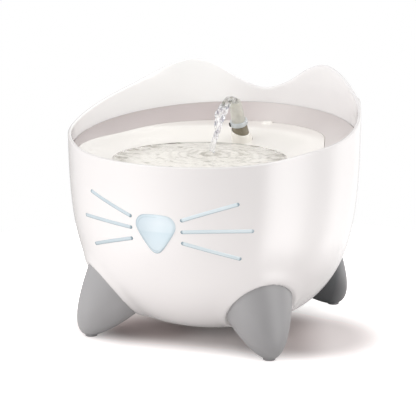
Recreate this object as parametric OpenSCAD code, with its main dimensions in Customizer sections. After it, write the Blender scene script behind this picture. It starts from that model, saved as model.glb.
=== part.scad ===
// Pet water fountain: a round bowl with cat ears, a lift-out drinking dish with a leaning
// spout, and a pump with its filter in the reservoir below. Millimetres, +Z up, the nose
// faces -Y and the origin is on the floor under the bowl's axis.
// Angles round the bowl are counted from the front (-Y) towards +X.

/* [Bowl] */
// Largest outer radius of the bowl
bowl_r = 122; // [110:0.5:135]
// Height of the bowl's lowest point above the floor, before its base is cut flat
bowl_bottom = 5.3; // [3:0.1:8]
// Height at which the curved side has become upright
bowl_shoulder = 206.7; // [180:0.1:230]
// Roundness of the side: power of the height term
side_power = 4.18; // [3:0.01:6]
// Fullness of the side: power of the radius term
fullness = 2.72; // [2:0.01:3.5]
// Thickness of the bowl's side wall
wall = 2.8; // [2:0.1:4]
// Height of the flat outer base
base_z = 6; // [5.6:0.1:8]
// Height of the flat floor inside the bowl
floor_z = 14; // [12:0.5:18]

/* [Rim and ears] */
// Height of the rim at the front
rim_front_z = 158.5; // [150:0.5:165]
// Height of the ear tips
ear_tip_z = 211.5; // [195:0.5:230]
// Height of the rim at the back, between the ears
rim_rear_z = 186; // [175:0.5:195]
// Angle of an ear tip from the front
ear_angle = 149; // [140:1:160]
// Stations round half of the rim
rim_steps = 48; // [32:1:60]

/* [Ledge and splash ring] */
// Height of the ledge that carries the splash ring
ledge_z = 149; // [144:0.5:150]
// Reach of the ledge into the bowl
ledge_reach = 2.5; // [2:0.1:3.5]
// Height of the splash ring's outer edge over the bowl's axis
ring_z = 159.2; // [157:0.1:162]
// Rise of the ring's outer edge per millimetre towards the back
ring_rise = 0.113; // [0.05:0.001:0.15]
// Depth of the ring's front edge below the dish's edge
ring_front_drop = 2.5; // [1.5:0.1:4]
// Thickness of the ring
ring_wall = 2; // [1.5:0.1:3]
// Width of the lip under the dish's edge
lip_w = 3.2; // [2:0.1:5]

/* [Drinking dish] */
// Height of the dish's edge
dish_z = 157; // [155:0.5:160]
// Thickness of the dish
dish_wall = 2.3; // [1.8:0.1:3]
// Distance of the pool's centre in front of the bowl's axis
pool_front = 31.6; // [25:0.1:38]
// Width of the dish's front beach, from the pool to the dish's edge
front_beach = 11.25; // [8:0.25:16]
// Height of the water line
water_z = 147.7; // [144:0.1:150]
// Depth of the pool
pool_depth = 11.5; // [8:0.5:14]
// Least width of the splash ring, between the ledge and the dish's edge
ring_min_w = 2.6; // [2:0.1:4]
// How much the wide front part of the dish's outline is drawn in from the ring
side_step = 12.85; // [10:0.05:18]
// Width of the splash ring behind the dish, past its least width
rear_step = 7.85; // [4:0.05:16]
// Distance of the narrow rear part's centre behind the bowl's axis
outline_rear_y = 20; // [10:0.5:25]
// Distance of the wide front part's centre behind the pool's centre
outline_front_y = 0.6; // [0:0.1:3]
// Radius of a drain hole
drain_r = 2.5; // [2:0.1:3]
// Turn of the spout and the lift tab round the pool's centre
spout_turn = 4.5; // [0:0.5:8]
// Radius of the lift tab
tab_r = 5; // [4:0.5:7]
// Height of the lift tab above the dish's edge
tab_h = 1.8; // [1:0.1:3]

/* [Spout] */
// Distance of the spout's axis from the pool's edge
spout_gap = 9.5; // [9:0.25:13]
// Lean of the spout towards the pool
spout_lean = 22; // [10:1:30]
// Further lean of the clear nozzle
nozzle_lean = 6.4; // [0:0.2:10]
// Radius of the white base at its foot
tower_r = 8.9; // [8.6:0.1:10]
// Radius of the white base at its top
tower_top_r = 7.9; // [7.8:0.1:8.5]
// Length of the white base along its lean
tower_len = 11; // [9:0.5:13]
// Length of the tinted stem above the base
stem_show = 5; // [3:0.5:8]
// Radius of the tinted stem at its top
stem_top_r = 6.5; // [6:0.1:7]
// Radius of the clear collar
collar_r = 7.7; // [7.2:0.1:9]
// Height of the clear collar
collar_h = 3.2; // [2.5:0.1:4]
// Turn of the black stop round the collar
stop_turn = 35; // [0:5:90]
// Length of the clear nozzle above the collar
nozzle_len = 20; // [14:0.5:24]
// Radius of the nozzle over the collar
nozzle_r = 6; // [5.5:0.1:6.2]
// Radius of the nozzle at its mouth
nozzle_mouth_r = 4.6; // [4:0.1:5]
// Radius of the water way in the spout
way_r = 3; // [2.5:0.1:3.2]

/* [Feet] */
// How far the two front feet's points lie inside the bowl's largest radius
front_foot_in = 4.2; // [0:0.1:10]
// How far the two rear feet's points lie outside the bowl's largest radius
rear_foot_out = 3; // [0:0.1:6]
// Angle of the front feet from the front
front_foot_angle = 45.6; // [40:0.2:50]
// Angle of the rear feet from the front
rear_foot_angle = 137.2; // [130:0.2:142]
// Lean of a foot's axis towards the bowl
foot_lean = 38.8; // [34:0.2:42]
// Roundness of a foot's point
foot_round = 17.6; // [14:0.2:20]
// Radius of a rubber pad
pad_r = 5; // [4:0.1:5.5]
// Height of a rubber pad
pad_h = 2.6; // [1.5:0.1:3.5]
// Height of a pad below its foot
pad_proud = 0.5; // [0.3:0.1:1]
// Radius of a foot's peg
peg_r = 4; // [3:0.1:5]
// Depth of the peg in the bowl
peg_depth = 6; // [5:0.5:8]
// Thickness of the boss in the bowl round and past the peg
boss_t = 2.5; // [2:0.1:4]

/* [Face] */
// Distance between the centres of the nose's upper corners
nose_w = 17.2; // [12:0.2:22]
// Height of the nose's upper corners
nose_z = 111.4; // [104:0.2:116]
// Radius of the nose's upper corners
nose_corner_r = 8.2; // [6:0.1:10]
// Distance from the upper corners down to the point's centre
nose_drop = 17.6; // [14:0.2:22]
// Radius of the nose's point
nose_point_r = 5.3; // [4:0.1:7]
// Width of a whisker
whisker_w = 3; // [2:0.1:4]
// Distance of a whisker's inner end from the middle
whisker_start = 22; // [19:0.5:26]
// Length of the whiskers round the bowl
whisker_len = 44; // [30:1:54]
// Depth of the pockets for the nose and the whiskers
pocket = 1.2; // [0.8:0.1:1.5]
// Height of the nose above the bowl's surface
nose_proud = 1.4; // [0.5:0.1:2]
// Height of the whiskers above the bowl's surface
whisker_proud = 0.5; // [0.2:0.1:1]

/* [Pump] */
// Width of the motor block
block_w = 36; // [34:0.5:40]
// Length of the motor block
block_len = 38; // [36:0.5:40]
// Height of the motor block
block_h = 36; // [35:0.5:40]
// Height of the suction cups
cup_h = 6; // [4.5:0.5:8]
// Radius of the suction cups
cup_r = 6; // [5:0.5:6.5]
// Height of the shaft above the block's underside
shaft_up = 14; // [13:0.5:14.5]
// Radius of the pump chamber
chamber_r = 11.5; // [10:0.1:11.5]
// Length of the pump chamber
chamber_len = 12; // [11:0.5:14]
// Wall of the pump chamber
chamber_wall = 2.3; // [1.8:0.1:2.4]
// Radius of the rotor magnet
magnet_r = 6; // [5:0.1:6.5]
// Length of the rotor magnet
magnet_len = 24; // [18:0.5:26]
// Radius of the ceramic shaft
shaft_r = 1.1; // [0.8:0.05:1.5]
// Radius of the impeller
impeller_r = 9.8; // [8:0.1:10]
// Thickness of the pump cover
cover_t = 4; // [3:0.5:5]
// Radius over the cover's inlet holes
inlet_r = 5.6; // [5:0.1:6]
// Radius of an inlet hole
inlet_hole_r = 1.4; // [1:0.1:1.6]
// Radius of the shaft's front bush
bush_r = 2.2; // [2:0.1:2.4]
// Thickness of the shaft's front bush
bush_t = 2.2; // [1.8:0.1:2.6]
// Travel of the flow slider
slider_travel = 8; // [4:0.5:9]
// Thickness of the flow slider
slider_t = 1.8; // [1.2:0.1:2.4]

/* [Riser and filter] */
// Outer radius of the riser tube
riser_r = 5; // [4.6:0.1:5.4]
// Bore radius of the riser tube
riser_bore = 3.5; // [3:0.1:3.6]
// Length of the riser in the spout's socket
riser_plug = 14; // [8:0.5:16]
// Height of the filter's underside
filter_z = 70; // [68:0.5:78]
// Outer radius of the filter
filter_r = 48; // [40:0.5:50]
// Height of the filter tray
filter_h = 24; // [18:0.5:30]
// Wall of the filter tray
filter_wall = 1.8; // [1.4:0.1:2.5]
// Height of the foam pad
foam_h = 8; // [5:0.5:10]
// Radius of the filter's water holes
filter_hole_r = 2; // [1.5:0.1:2.5]
// Radius of the inner ring of water holes
filter_ring_r = 16; // [14:0.5:18]
// Distance between the rings of water holes
filter_ring_step = 11; // [9:0.5:13]
// Height of the lid's collar round the riser
lid_collar_h = 5; // [3:0.5:8]
// Wall of the lid's collar
lid_collar_wall = 4; // [3:0.5:6]

/* [Cable inlet] */
// Height of the cable grommet
grommet_z = 118; // [110:0.5:128]
// Radius of the grommet's body
grommet_r = 6; // [5:0.1:7]
// Radius of the grommet's bore
cable_r = 2.2; // [1.5:0.1:3]
// Radius of the grommet's flanges
flange_r = 8; // [7.5:0.1:10]
// Thickness of the grommet's flanges
flange_t = 1.5; // [1.2:0.1:1.8]
// Length of the snout that grips the cable inside the bowl
snout_len = 6; // [4:0.5:8]
// Radius of the snout
snout_r = 4.5; // [4:0.1:5.5]
// Gap round the cable from the snout to the outside
cable_gap = 1.1; // [0.9:0.05:1.3]
// Radius of the cable gland on the pump
gland_r = 4; // [3.5:0.1:4.2]

/* [Clearances] */
// Gap between pieces that are bonded or seated
seat_gap = 0.1; // [0.05:0.05:0.2]
// Gap between pieces that lift apart
lift_gap = 0.3; // [0.25:0.05:0.5]
// Radial gap of a running fit
run_gap = 0.05; // [0.02:0.01:0.08]

/* [Hidden] */
$fn = 64;
far = 400;

shell_white = "#f6f4f1";
foot_grey = "#a9a6a4";
ring_taupe = "#cfc6c4";
dish_cream = "#faf8f2";
face_blue = "#bcd6e0";
clear_tint = "#d8e0df";
olive = "#8d8672";
black_rubber = "#2b2b2c";
pump_dark = "#3c4044";
foam_dark = "#55585b";
carbon_black = "#1f2022";
filter_white = "#e9ecec";

// Bowl profile: radius at height z, with the surface moved outwards by grow
function bowl_at(z, grow = 0) = let (
    depth = bowl_shoulder - bowl_bottom + grow,
    down = min(1, max(0, bowl_shoulder - z) / depth)
) (bowl_r + grow) * pow(1 - pow(down, side_power), 1 / fullness);

// Heights that crowd together near the bottom, where the profile turns fastest
function rising(z0, z1, n) = [for (i = [0:n]) z0 + (z1 - z0) * pow(i / n, 1.8)];
function profile(z0, z1, grow, n) = [for (z = rising(z0, z1, n)) [bowl_at(z, grow), z]];
function reversed(list) = [for (i = [len(list) - 1:-1:0]) list[i]];

// Rim: shares of the angle to the ear tip and of the height from the front, then back down
rim_up = [[0, 0], [0.24, 0.03], [0.4, 0.135], [0.54, 0.225], [0.67, 0.39], [0.81, 0.63], [0.94, 0.93]];
rim_down = [[0, 1], [0.3, 0.8], [0.645, 0.275], [1, 0]];
rim_stations = concat(
    [for (p = rim_up) [p[0] * ear_angle, rim_front_z + p[1] * (ear_tip_z - rim_front_z)]],
    [for (p = rim_down) [ear_angle + p[0] * (180 - ear_angle),
        rim_rear_z + p[1] * (ear_tip_z - rim_rear_z)]]);
rim_last = len(rim_stations) - 1;
function rim_slope(i) = i == 0 || i == rim_last ? 0
    : (rim_stations[i + 1][1] - rim_stations[i - 1][1]) / (rim_stations[i + 1][0] - rim_stations[i - 1][0]);
function rim_index(a, i = 0) = i >= rim_last - 1 || a < rim_stations[i + 1][0] ? i : rim_index(a, i + 1);
function rim_z(a) = let (
    i = rim_index(a),
    p = rim_stations[i],
    q = rim_stations[i + 1],
    d = q[0] - p[0],
    t = (a - p[0]) / d
) p[1] * (2 * pow(t, 3) - 3 * t * t + 1) + q[1] * (3 * t * t - 2 * pow(t, 3))
    + d * rim_slope(i) * (pow(t, 3) - 2 * t * t + t) + d * rim_slope(i + 1) * (pow(t, 3) - t * t);

// Dish outline: distance from the bowl's axis at an angle from the front
wide_y = -pool_front + outline_front_y;
seat_r = bowl_at(ledge_z, -wall) - lift_gap;
ledge_r = bowl_at(ledge_z, -wall) - ledge_reach;
outline_max_r = ledge_r - ring_min_w;
outline_front_r = outline_max_r - side_step;
outline_rear_r = outline_max_r - rear_step - outline_rear_y;
pool_r = outline_max_r - pool_front - front_beach;
spout_reach = pool_r + spout_gap;
function circle_reach(cy, r, a) = -cy * cos(a) + sqrt(pow(cy * cos(a), 2) - cy * cy + r * r);
function outline_at(a) = min(outline_max_r, max([for (k = [0:0.1:1])
    circle_reach(wide_y + k * (outline_rear_y - wide_y),
        outline_front_r + k * (outline_rear_r - outline_front_r), a)]));
outline_steps = 90;
function outline() = [for (i = [0:outline_steps - 1]) let (a = i * 360 / outline_steps)
    outline_at(a) * [sin(a), -cos(a)]];

// Upper line of the dish: pool floor, pool wall, sloping beach and flat edge
dish_line = [[0, water_z - pool_depth], [0.58 * pool_r, water_z - pool_depth + 0.4],
    [0.8 * pool_r, water_z - 0.75 * pool_depth], [0.93 * pool_r, water_z - 0.38 * pool_depth],
    [pool_r, water_z], [pool_r + 7, water_z + 1.7], [pool_r + 17, water_z + 4.3],
    [pool_r + 27, dish_z - 1.9], [pool_r + 35, dish_z - 0.3], [pool_r + 42, dish_z], [200, dish_z]];
function dish_top(d, i = 0) = d < dish_line[i + 1][0]
    ? dish_line[i][1] + (dish_line[i + 1][1] - dish_line[i][1]) * (d - dish_line[i][0])
        / (dish_line[i + 1][0] - dish_line[i][0])
    : dish_top(d, i + 1);
// Height of the dish's surface at distance d from the bowl's axis and angle a from the front
function dish_at(d, a) = dish_top(norm([d * sin(a), pool_front - d * cos(a)]));

// Places that several pieces share
spout_x = spout_reach * sin(spout_turn);
spout_y = -pool_front + spout_reach * cos(spout_turn);
bend_z = water_z + 1.8;
bend_over = 0.15;
spigot_len = 6.5;
seal_wire_r = 0.48;
groove_h = 2 * seal_wire_r + 0.1;
stem_end = tower_len + stem_show;
socket_r = riser_r + 1.2;
socket_floor = bend_z - 4.5;
riser_top = socket_floor - 1;
socket_mouth = riser_top - riser_plug;
seal_r = socket_r - seat_gap;
filter_bore = seal_r + lift_gap;
spigot_r = stem_top_r - 1.9;
block_z = floor_z + cup_h;
shaft_z = block_z + shaft_up;
chamber_y1 = spout_y + chamber_len / 2 + 1;
chamber_y0 = chamber_y1 - chamber_len;
block_y1 = chamber_y0;
block_y0 = block_y1 - block_len;
well_r = magnet_r + 0.7;
outlet_r = 6;
outlet_h = 6;
outlet_z = block_z + block_h + outlet_h;
front_foot_reach = bowl_r - front_foot_in;
rear_foot_reach = bowl_r + rear_foot_out;
foot_t_low = foot_round * pow(tan(foot_lean), 2) / 4;
foot_r_low = foot_round * tan(foot_lean) / 2;
foot_z = pad_proud - (foot_t_low * cos(foot_lean) - foot_r_low * sin(foot_lean));
foot_back = foot_t_low * sin(foot_lean) + foot_r_low * cos(foot_lean);
foot_len = 62;
seat_y = bowl_at(grommet_z, -0.3 * wall);

// ---- shared shapes ----

// Turns a piece so that it faces the angle a round the bowl
module at_angle(a) {
    rotate([0, 0, a]) children();
}

module bowl_solid(grow) {
    top = ear_tip_z + 5;
    rotate_extrude() polygon(concat(
        [[0, base_z - grow]], profile(base_z - grow, top, grow, 24), [[0, top]]));
}

// A band of the bowl's wall between two offsets from its surface
module bowl_band(z0, z1, inside, outside) {
    n = 8;
    rotate_extrude() polygon(concat(
        [for (i = [0:n]) let (z = z0 + (z1 - z0) * i / n) [bowl_at(z, outside), z]],
        [for (i = [n:-1:0]) let (z = z0 + (z1 - z0) * i / n) [bowl_at(z, -inside), z]]));
}

// Everything above the rim line: one wedge per station
module above_rim() {
    reach = bowl_r + 20;
    roof = ear_tip_z + 30;
    n = 2 * rim_steps;
    ring = [for (i = [0:n - 1]) let (a = i * 360 / n, h = rim_z(a > 180 ? 360 - a : a))
        [reach * sin(a), -reach * cos(a), h]];
    inner = [for (p = ring) [0.3 * p[0], 0.3 * p[1], p[2]]];
    points = concat(inner, ring,
        [for (p = ring) [p[0], p[1], roof]], [for (p = inner) [p[0], p[1], roof]]);
    faces = concat(
        [for (i = [0:n - 1]) let (j = (i + 1) % n) [i, n + i, n + j]],
        [for (i = [0:n - 1]) let (j = (i + 1) % n) [i, n + j, j]],
        [for (i = [0:n - 1]) let (j = (i + 1) % n) [n + i, 2 * n + i, 2 * n + j, n + j]],
        [for (i = [0:n - 1]) let (j = (i + 1) % n) [2 * n + i, 3 * n + i, 3 * n + j, 2 * n + j]],
        [for (i = [0:n - 1]) let (j = (i + 1) % n) [3 * n + i, i, j, 3 * n + j]]);
    polyhedron(points, faces);
}

// A foot's frame: origin at its point, +Z along its leaning axis
module foot_frame(a, reach) {
    at_angle(a) translate([0, -reach, foot_z]) rotate([-foot_lean, 0, 0]) children();
}

// Distance along a foot's axis at which it meets the bowl
function foot_hit(reach, t = 20) =
    bowl_at(foot_z + t * cos(foot_lean)) >= reach - t * sin(foot_lean) ? t : foot_hit(reach, t + 0.25);

FEET = [[-front_foot_angle, front_foot_reach], [front_foot_angle, front_foot_reach],
    [rear_foot_angle, rear_foot_reach], [-rear_foot_angle, rear_foot_reach]];

module foot_shape() {
    n = 16;
    rotate_extrude() polygon(concat(
        [for (i = [0:n]) let (t = foot_len * pow(i / n, 2)) [sqrt(foot_round * t), t]],
        [[0, foot_len]]));
}

function arc(cx, cz, r, a0, a1, n) = [for (i = [0:n]) let (a = a0 + (a1 - a0) * i / n)
    [cx + r * cos(a), cz + r * sin(a)]];

// Nose outline in the front view: a rounded triangle, point down
module nose_outline(grow) {
    half = nose_w / 2;
    side = sqrt(half * half + nose_drop * nose_drop);
    turn = asin((nose_corner_r - nose_point_r) / side);
    low = -atan2(half, nose_drop) + turn;
    polygon(concat(
        arc(half, nose_z, nose_corner_r + grow, low, 90, 10),
        arc(-half, nose_z, nose_corner_r + grow, 90, 180 - low, 10),
        arc(0, nose_z - nose_drop, nose_point_r + grow, 180 - low, 360 + low, 10)));
}

// Whisker outline in the front view: a bowed strip with round ends.
// z0 and z1 are its end heights and reach its length round the bowl.
module whisker_outline(z0, z1, reach, bow, grow) {
    n = 10;
    half = whisker_w / 2 + grow;
    function mid(t) = let (
        z = z0 + (z1 - z0) * t + bow * 4 * t * (1 - t),
        r = bowl_at(z),
        along = whisker_start + reach * t
    ) [r * sin(along / r * 180 / PI), z];
    function lean(t) = let (d = mid(t + 0.01) - mid(t - 0.01)) atan2(d[1], d[0]);
    function side(t, s) = mid(t) + s * half * [-sin(lean(t)), cos(lean(t))];
    polygon(concat(
        [for (i = [0:n]) side(i / n, -1)],
        arc(mid(1)[0], mid(1)[1], half, lean(1) - 60, lean(1) + 60, 4),
        [for (i = [n:-1:0]) side(i / n, 1)],
        arc(mid(0)[0], mid(0)[1], half, lean(0) + 120, lean(0) + 240, 4)));
}

// Heights of a whisker's ends, its length and its bow
WHISKERS = [[117, 130, whisker_len - 1, 0.6], [107.6, 108.2, whisker_len + 10, 0.9],
    [98.4, 86, whisker_len - 1, 0.4]];

// Raises a front-view outline into a solid that crosses the front wall
module to_front() {
    rotate([90, 0, 0]) linear_extrude(bowl_r + 10) children();
}

module whisker(side, row, grow, inside) {
    w = WHISKERS[row];
    intersection() {
        mirror([side < 0 ? 1 : 0, 0, 0]) to_front() whisker_outline(w[0], w[1], w[2], w[3], grow);
        bowl_band(w[1] < w[0] ? w[1] - 5 : w[0] - 5, max(w[0], w[1]) + 5, inside, whisker_proud);
    }
}

module nose(grow, inside) {
    intersection() {
        to_front() nose_outline(grow);
        bowl_band(nose_z - nose_drop - nose_point_r - 2, nose_z + nose_corner_r + 2, inside, nose_proud);
    }
}

// Frame of the spout: origin at its bend, +Z along its lean
module spout_frame() {
    translate([spout_x, spout_y, bend_z]) rotate([0, 0, -spout_turn]) rotate([spout_lean, 0, 0]) children();
}

module at_spout(z) {
    translate([spout_x, spout_y, z]) children();
}

// Runs a round piece along Y, from y0 to y1 on the shaft's line
module on_shaft(y0, y1, r) {
    translate([spout_x, y0, shaft_z]) rotate([-90, 0, 0]) cylinder(h = y1 - y0, r = r);
}

// ---- bowl ----

module reservoir_shell() {
    color(shell_white) difference() {
        union() {
            difference() {
                rotate_extrude() polygon(concat(
                    [[0, base_z]],
                    profile(base_z, ear_tip_z + 5, 0, 24),
                    [[bowl_at(ear_tip_z, -wall), ear_tip_z + 5]],
                    [[bowl_at(ledge_z, -wall), ledge_z], [ledge_r, ledge_z], [ledge_r, ledge_z - 1.5],
                        [bowl_at(ledge_z - 6, -wall), ledge_z - 6]],
                    reversed(profile(floor_z, ledge_z - 8, -wall, 20)),
                    [[0, floor_z]]));
                above_rim();
            }
            intersection() {
                for (f = FEET) foot_frame(f[0], f[1]) translate([0, 0, foot_hit(f[1]) - peg_depth])
                    cylinder(h = 2 * peg_depth + boss_t, r = 2 * peg_r);
                bowl_solid(-0.5 * wall);
            }
        }
        for (f = FEET) foot_frame(f[0], f[1]) translate([0, 0, foot_hit(f[1]) - 2 * peg_r])
            cylinder(h = 2 * peg_r + peg_depth + seat_gap, r = peg_r + seat_gap);
        nose(seat_gap, pocket);
        for (side = [-1, 1]) for (row = [0:2]) whisker(side, row, seat_gap, pocket);
        translate([0, 0, grommet_z]) rotate([-90, 0, 0]) {
            cylinder(h = far, r = grommet_r + seat_gap);
            translate([0, 0, seat_y]) cylinder(h = far, r = flange_r + 2 * seat_gap);
        }
    }
}

module foot(a, reach) {
    hit = foot_hit(reach);
    color(foot_grey) difference() {
        union() {
            difference() {
                foot_frame(a, reach) foot_shape();
                bowl_solid(seat_gap);
            }
            foot_frame(a, reach) translate([0, 0, hit - 1.5 * peg_r])
                cylinder(h = 1.5 * peg_r + peg_depth, r = peg_r);
        }
        at_angle(a) translate([0, foot_back - reach, -pad_h]) cylinder(h = 2 * pad_h, r = pad_r + seat_gap);
    }
}

module foot_front_left() { foot(FEET[0][0], FEET[0][1]); }
module foot_front_right() { foot(FEET[1][0], FEET[1][1]); }
module foot_rear_right() { foot(FEET[2][0], FEET[2][1]); }
module foot_rear_left() { foot(FEET[3][0], FEET[3][1]); }

module foot_pads() {
    color(black_rubber) for (f = FEET)
        at_angle(f[0]) translate([0, foot_back - f[1], 0]) cylinder(h = pad_h, r = pad_r);
}

module nose_lens() {
    color(face_blue) nose(0, pocket - seat_gap / 2);
}

module whisker_left_upper() { color(face_blue) whisker(-1, 0, 0, pocket - seat_gap / 2); }
module whisker_left_middle() { color(face_blue) whisker(-1, 1, 0, pocket - seat_gap / 2); }
module whisker_left_lower() { color(face_blue) whisker(-1, 2, 0, pocket - seat_gap / 2); }
module whisker_right_upper() { color(face_blue) whisker(1, 0, 0, pocket - seat_gap / 2); }
module whisker_right_middle() { color(face_blue) whisker(1, 1, 0, pocket - seat_gap / 2); }
module whisker_right_lower() { color(face_blue) whisker(1, 2, 0, pocket - seat_gap / 2); }

module cable_grommet() {
    inner_y = bowl_at(grommet_z - flange_r, -wall) - 6 * seat_gap - flange_t;
    color(black_rubber) translate([0, 0, grommet_z]) rotate([-90, 0, 0]) difference() {
        union() {
            translate([0, 0, seat_y]) cylinder(h = flange_t, r = flange_r);
            translate([0, 0, inner_y]) cylinder(h = seat_y - inner_y + 0.5 * flange_t, r = grommet_r);
            translate([0, 0, inner_y]) cylinder(h = flange_t, r = flange_r);
            translate([0, 0, inner_y - snout_len]) cylinder(h = snout_len + 0.5 * flange_t, r = snout_r);
        }
        cylinder(h = far, r = cable_r);
        translate([0, 0, inner_y]) cylinder(h = far, r = cable_r + cable_gap);
    }
}

// ---- top set: ring, dish and spout ----

module splash_ring() {
    n = outline_steps;
    foot_z0 = ledge_z + lift_gap;
    under = dish_wall + 1.5 * seat_gap;
    edge_gap = 2 * seat_gap;
    low_gap = 4 * seat_gap;
    edge_h = 2.5 * ring_wall;
    function section(a) = let (
        e = outline_at(a),
        edge_z = dish_at(e, a),
        lip_z = dish_at(e - lip_w, a) - under,
        top = max(dish_z - ring_front_drop, ring_z + ring_rise * -cos(a) * seat_r)
    ) [[seat_r, foot_z0], [seat_r, top],
        [e + edge_gap, edge_z], [e + edge_gap, edge_z - under], [e - lip_w, lip_z],
        [e - lip_w, lip_z - ring_wall], [e + low_gap, edge_z - under - ring_wall],
        [seat_r - ring_wall, max(foot_z0 + 0.5 * ring_wall, top - edge_h)], [seat_r - ring_wall, foot_z0]];
    m = 9;
    points = [for (i = [0:n - 1]) let (a = i * 360 / n)
        for (p = section(a)) [p[0] * sin(a), -p[0] * cos(a), p[1]]];
    faces = [for (i = [0:n - 1]) for (k = [0:m - 1]) let (j = (i + 1) % n, l = (k + 1) % m)
        for (f = [[i * m + k, i * m + l, j * m + l], [i * m + k, j * m + l, j * m + k]]) f];
    color(ring_taupe) polyhedron(points, faces);
}

module dish_solid() {
    translate([0, -pool_front, 0]) rotate_extrude() polygon(concat(
        dish_line, reversed([for (p = dish_line) [p[0], p[1] - dish_wall]])));
}

module drinking_dish() {
    tab_y = outline_rear_y + outline_rear_r - tab_r - 0.5 * dish_wall;
    low = water_z - pool_depth - dish_wall - 1;
    high = dish_z + tab_h + 1;
    color(dish_cream) difference() {
        intersection() {
            union() {
                dish_solid();
                translate([(tab_y + pool_front) * tan(spout_turn), tab_y, dish_z - 0.5 * dish_wall])
                    cylinder(h = 0.5 * dish_wall + tab_h, r = tab_r);
            }
            translate([0, 0, low]) linear_extrude(high - low) polygon(outline());
        }
        at_spout(low) cylinder(h = high - low, r = tower_r + 2 * bend_over + seat_gap);
        for (a = [-36:12:36]) translate([0, -pool_front, low]) rotate([0, 0, a])
            translate([0, -pool_r - 1.4 * drain_r, 0]) cylinder(h = high - low, r = drain_r);
    }
}

// Distance of the stem's foot above the bend
stem_foot = 3;

module spout_tower() {
    cut = 16;
    wide = 3 * tower_r;
    way = way_r + 1;
    color(dish_cream) difference() {
        union() {
            at_spout(socket_mouth) cylinder(h = bend_z - socket_mouth, r = tower_r);
            at_spout(bend_z) sphere(r = tower_r + bend_over);
            spout_frame() cylinder(h = tower_len + dish_wall, r1 = tower_r, r2 = tower_top_r);
            at_spout(socket_mouth + dish_wall) cylinder(h = dish_wall, r = tower_r + dish_wall);
        }
        at_spout(socket_mouth - 1) cylinder(h = socket_floor - socket_mouth + 1, r = socket_r);
        at_spout(socket_floor - 1) cylinder(h = bend_z - socket_floor + 1, r = way);
        at_spout(bend_z) sphere(r = way + bend_over);
        spout_frame() cylinder(h = tower_len + tower_r, r = way);
        spout_frame() translate([0, 0, stem_foot]) stem_cone(seat_gap);
        spout_frame() translate([0, 0, tower_len]) rotate([0, cut, 0])
            translate([-wide, -wide, 0]) cube([2 * wide, 2 * wide, wide]);
    }
}

// The stem's outer cone, from its foot in the base to its top under the collar
module stem_cone(grow) {
    cylinder(h = stem_end - stem_foot + (grow > 0 ? 1 : 0), r1 = stem_top_r + 0.9 + grow,
        r2 = stem_top_r + grow);
}

module spout_stem() {
    color(olive) spout_frame() difference() {
        translate([0, 0, stem_foot]) stem_cone(0);
        cylinder(h = far, r = way_r);
        translate([0, 0, stem_end - spigot_len - 0.5]) cylinder(h = far, r = spigot_r + run_gap);
    }
}

module spout_nozzle() {
    start = stem_end + lift_gap;
    color(clear_tint) spout_frame() difference() {
        union() {
            translate([0, 0, stem_end - spigot_len]) cylinder(h = spigot_len + 1, r = spigot_r);
            translate([0, 0, start]) cylinder(h = collar_h, r = nozzle_r);
            translate([0, 0, start + collar_h]) rotate([nozzle_lean, 0, 0]) translate([0, 0, -1])
                cylinder(h = nozzle_len + 1, r1 = nozzle_r - 0.3, r2 = nozzle_mouth_r);
        }
        translate([0, 0, stem_end - spigot_len - 1]) cylinder(h = spigot_len + collar_h + 2, r = way_r);
        translate([0, 0, start + collar_h]) rotate([nozzle_lean, 0, 0])
            translate([0, 0, -1]) cylinder(h = nozzle_len + 2, r1 = way_r - 0.15, r2 = way_r - 0.5);
        translate([0, 0, stem_end - spigot_len / 2 - groove_h / 2]) difference() {
            cylinder(h = groove_h, r = spigot_r + 1);
            translate([0, 0, -1]) cylinder(h = groove_h + 2, r = spigot_r - 2 * seal_wire_r - 0.02);
        }
    }
}

module nozzle_seal() {
    color(black_rubber) spout_frame() translate([0, 0, stem_end - spigot_len / 2]) rotate_extrude()
        translate([spigot_r - seal_wire_r, 0]) circle(r = seal_wire_r, $fn = 24);
}

module stop_shape(grow) {
    translate([-collar_r - 0.2, -1.1 - grow, stem_end + lift_gap - grow])
        cube([1.5 + grow, 2.2 + 2 * grow, collar_h + 2 * grow]);
}

module spout_collar() {
    color(clear_tint) spout_frame() difference() {
        translate([0, 0, stem_end + lift_gap]) cylinder(h = collar_h, r = collar_r);
        cylinder(h = far, r = nozzle_r + run_gap);
        rotate([0, 0, stop_turn]) stop_shape(0.5 * seat_gap);
    }
}

module nozzle_stop() {
    color(black_rubber) spout_frame() rotate([0, 0, stop_turn]) stop_shape(0);
}

// ---- riser and filter ----

module riser_tube() {
    grip_z = outlet_z - outlet_h + 2 * seat_gap;
    grip_wall = 2;
    color(clear_tint) at_spout(0) difference() {
        union() {
            translate([0, 0, grip_z]) cylinder(h = outlet_z - grip_z + grip_wall, r = outlet_r + grip_wall);
            translate([0, 0, outlet_z]) cylinder(h = riser_top - outlet_z, r = riser_r);
            translate([0, 0, filter_z - lift_gap - grip_wall]) cylinder(h = grip_wall, r = 2 * outlet_r);
        }
        cylinder(h = outlet_z, r = outlet_r + run_gap);
        cylinder(h = far, r = riser_bore);
    }
}

module riser_seal() {
    seal_h = 6;
    color(black_rubber) at_spout(riser_top - 0.5 * (riser_plug + seal_h)) difference() {
        cylinder(h = seal_h, r = seal_r);
        translate([0, 0, -1]) cylinder(h = seal_h + 2, r = riser_r + 0.5 * seat_gap);
    }
}

// Rings of water holes through a filter plate
module filter_holes() {
    for (ring = [0:2]) {
        r = filter_ring_r + filter_ring_step * ring;
        count = 8 + 6 * ring;
        for (i = [0:count - 1]) rotate([0, 0, i * 360 / count]) translate([r, 0, -filter_wall])
            cylinder(h = 3 * filter_wall, r = filter_hole_r, $fn = 24);
    }
}

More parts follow.
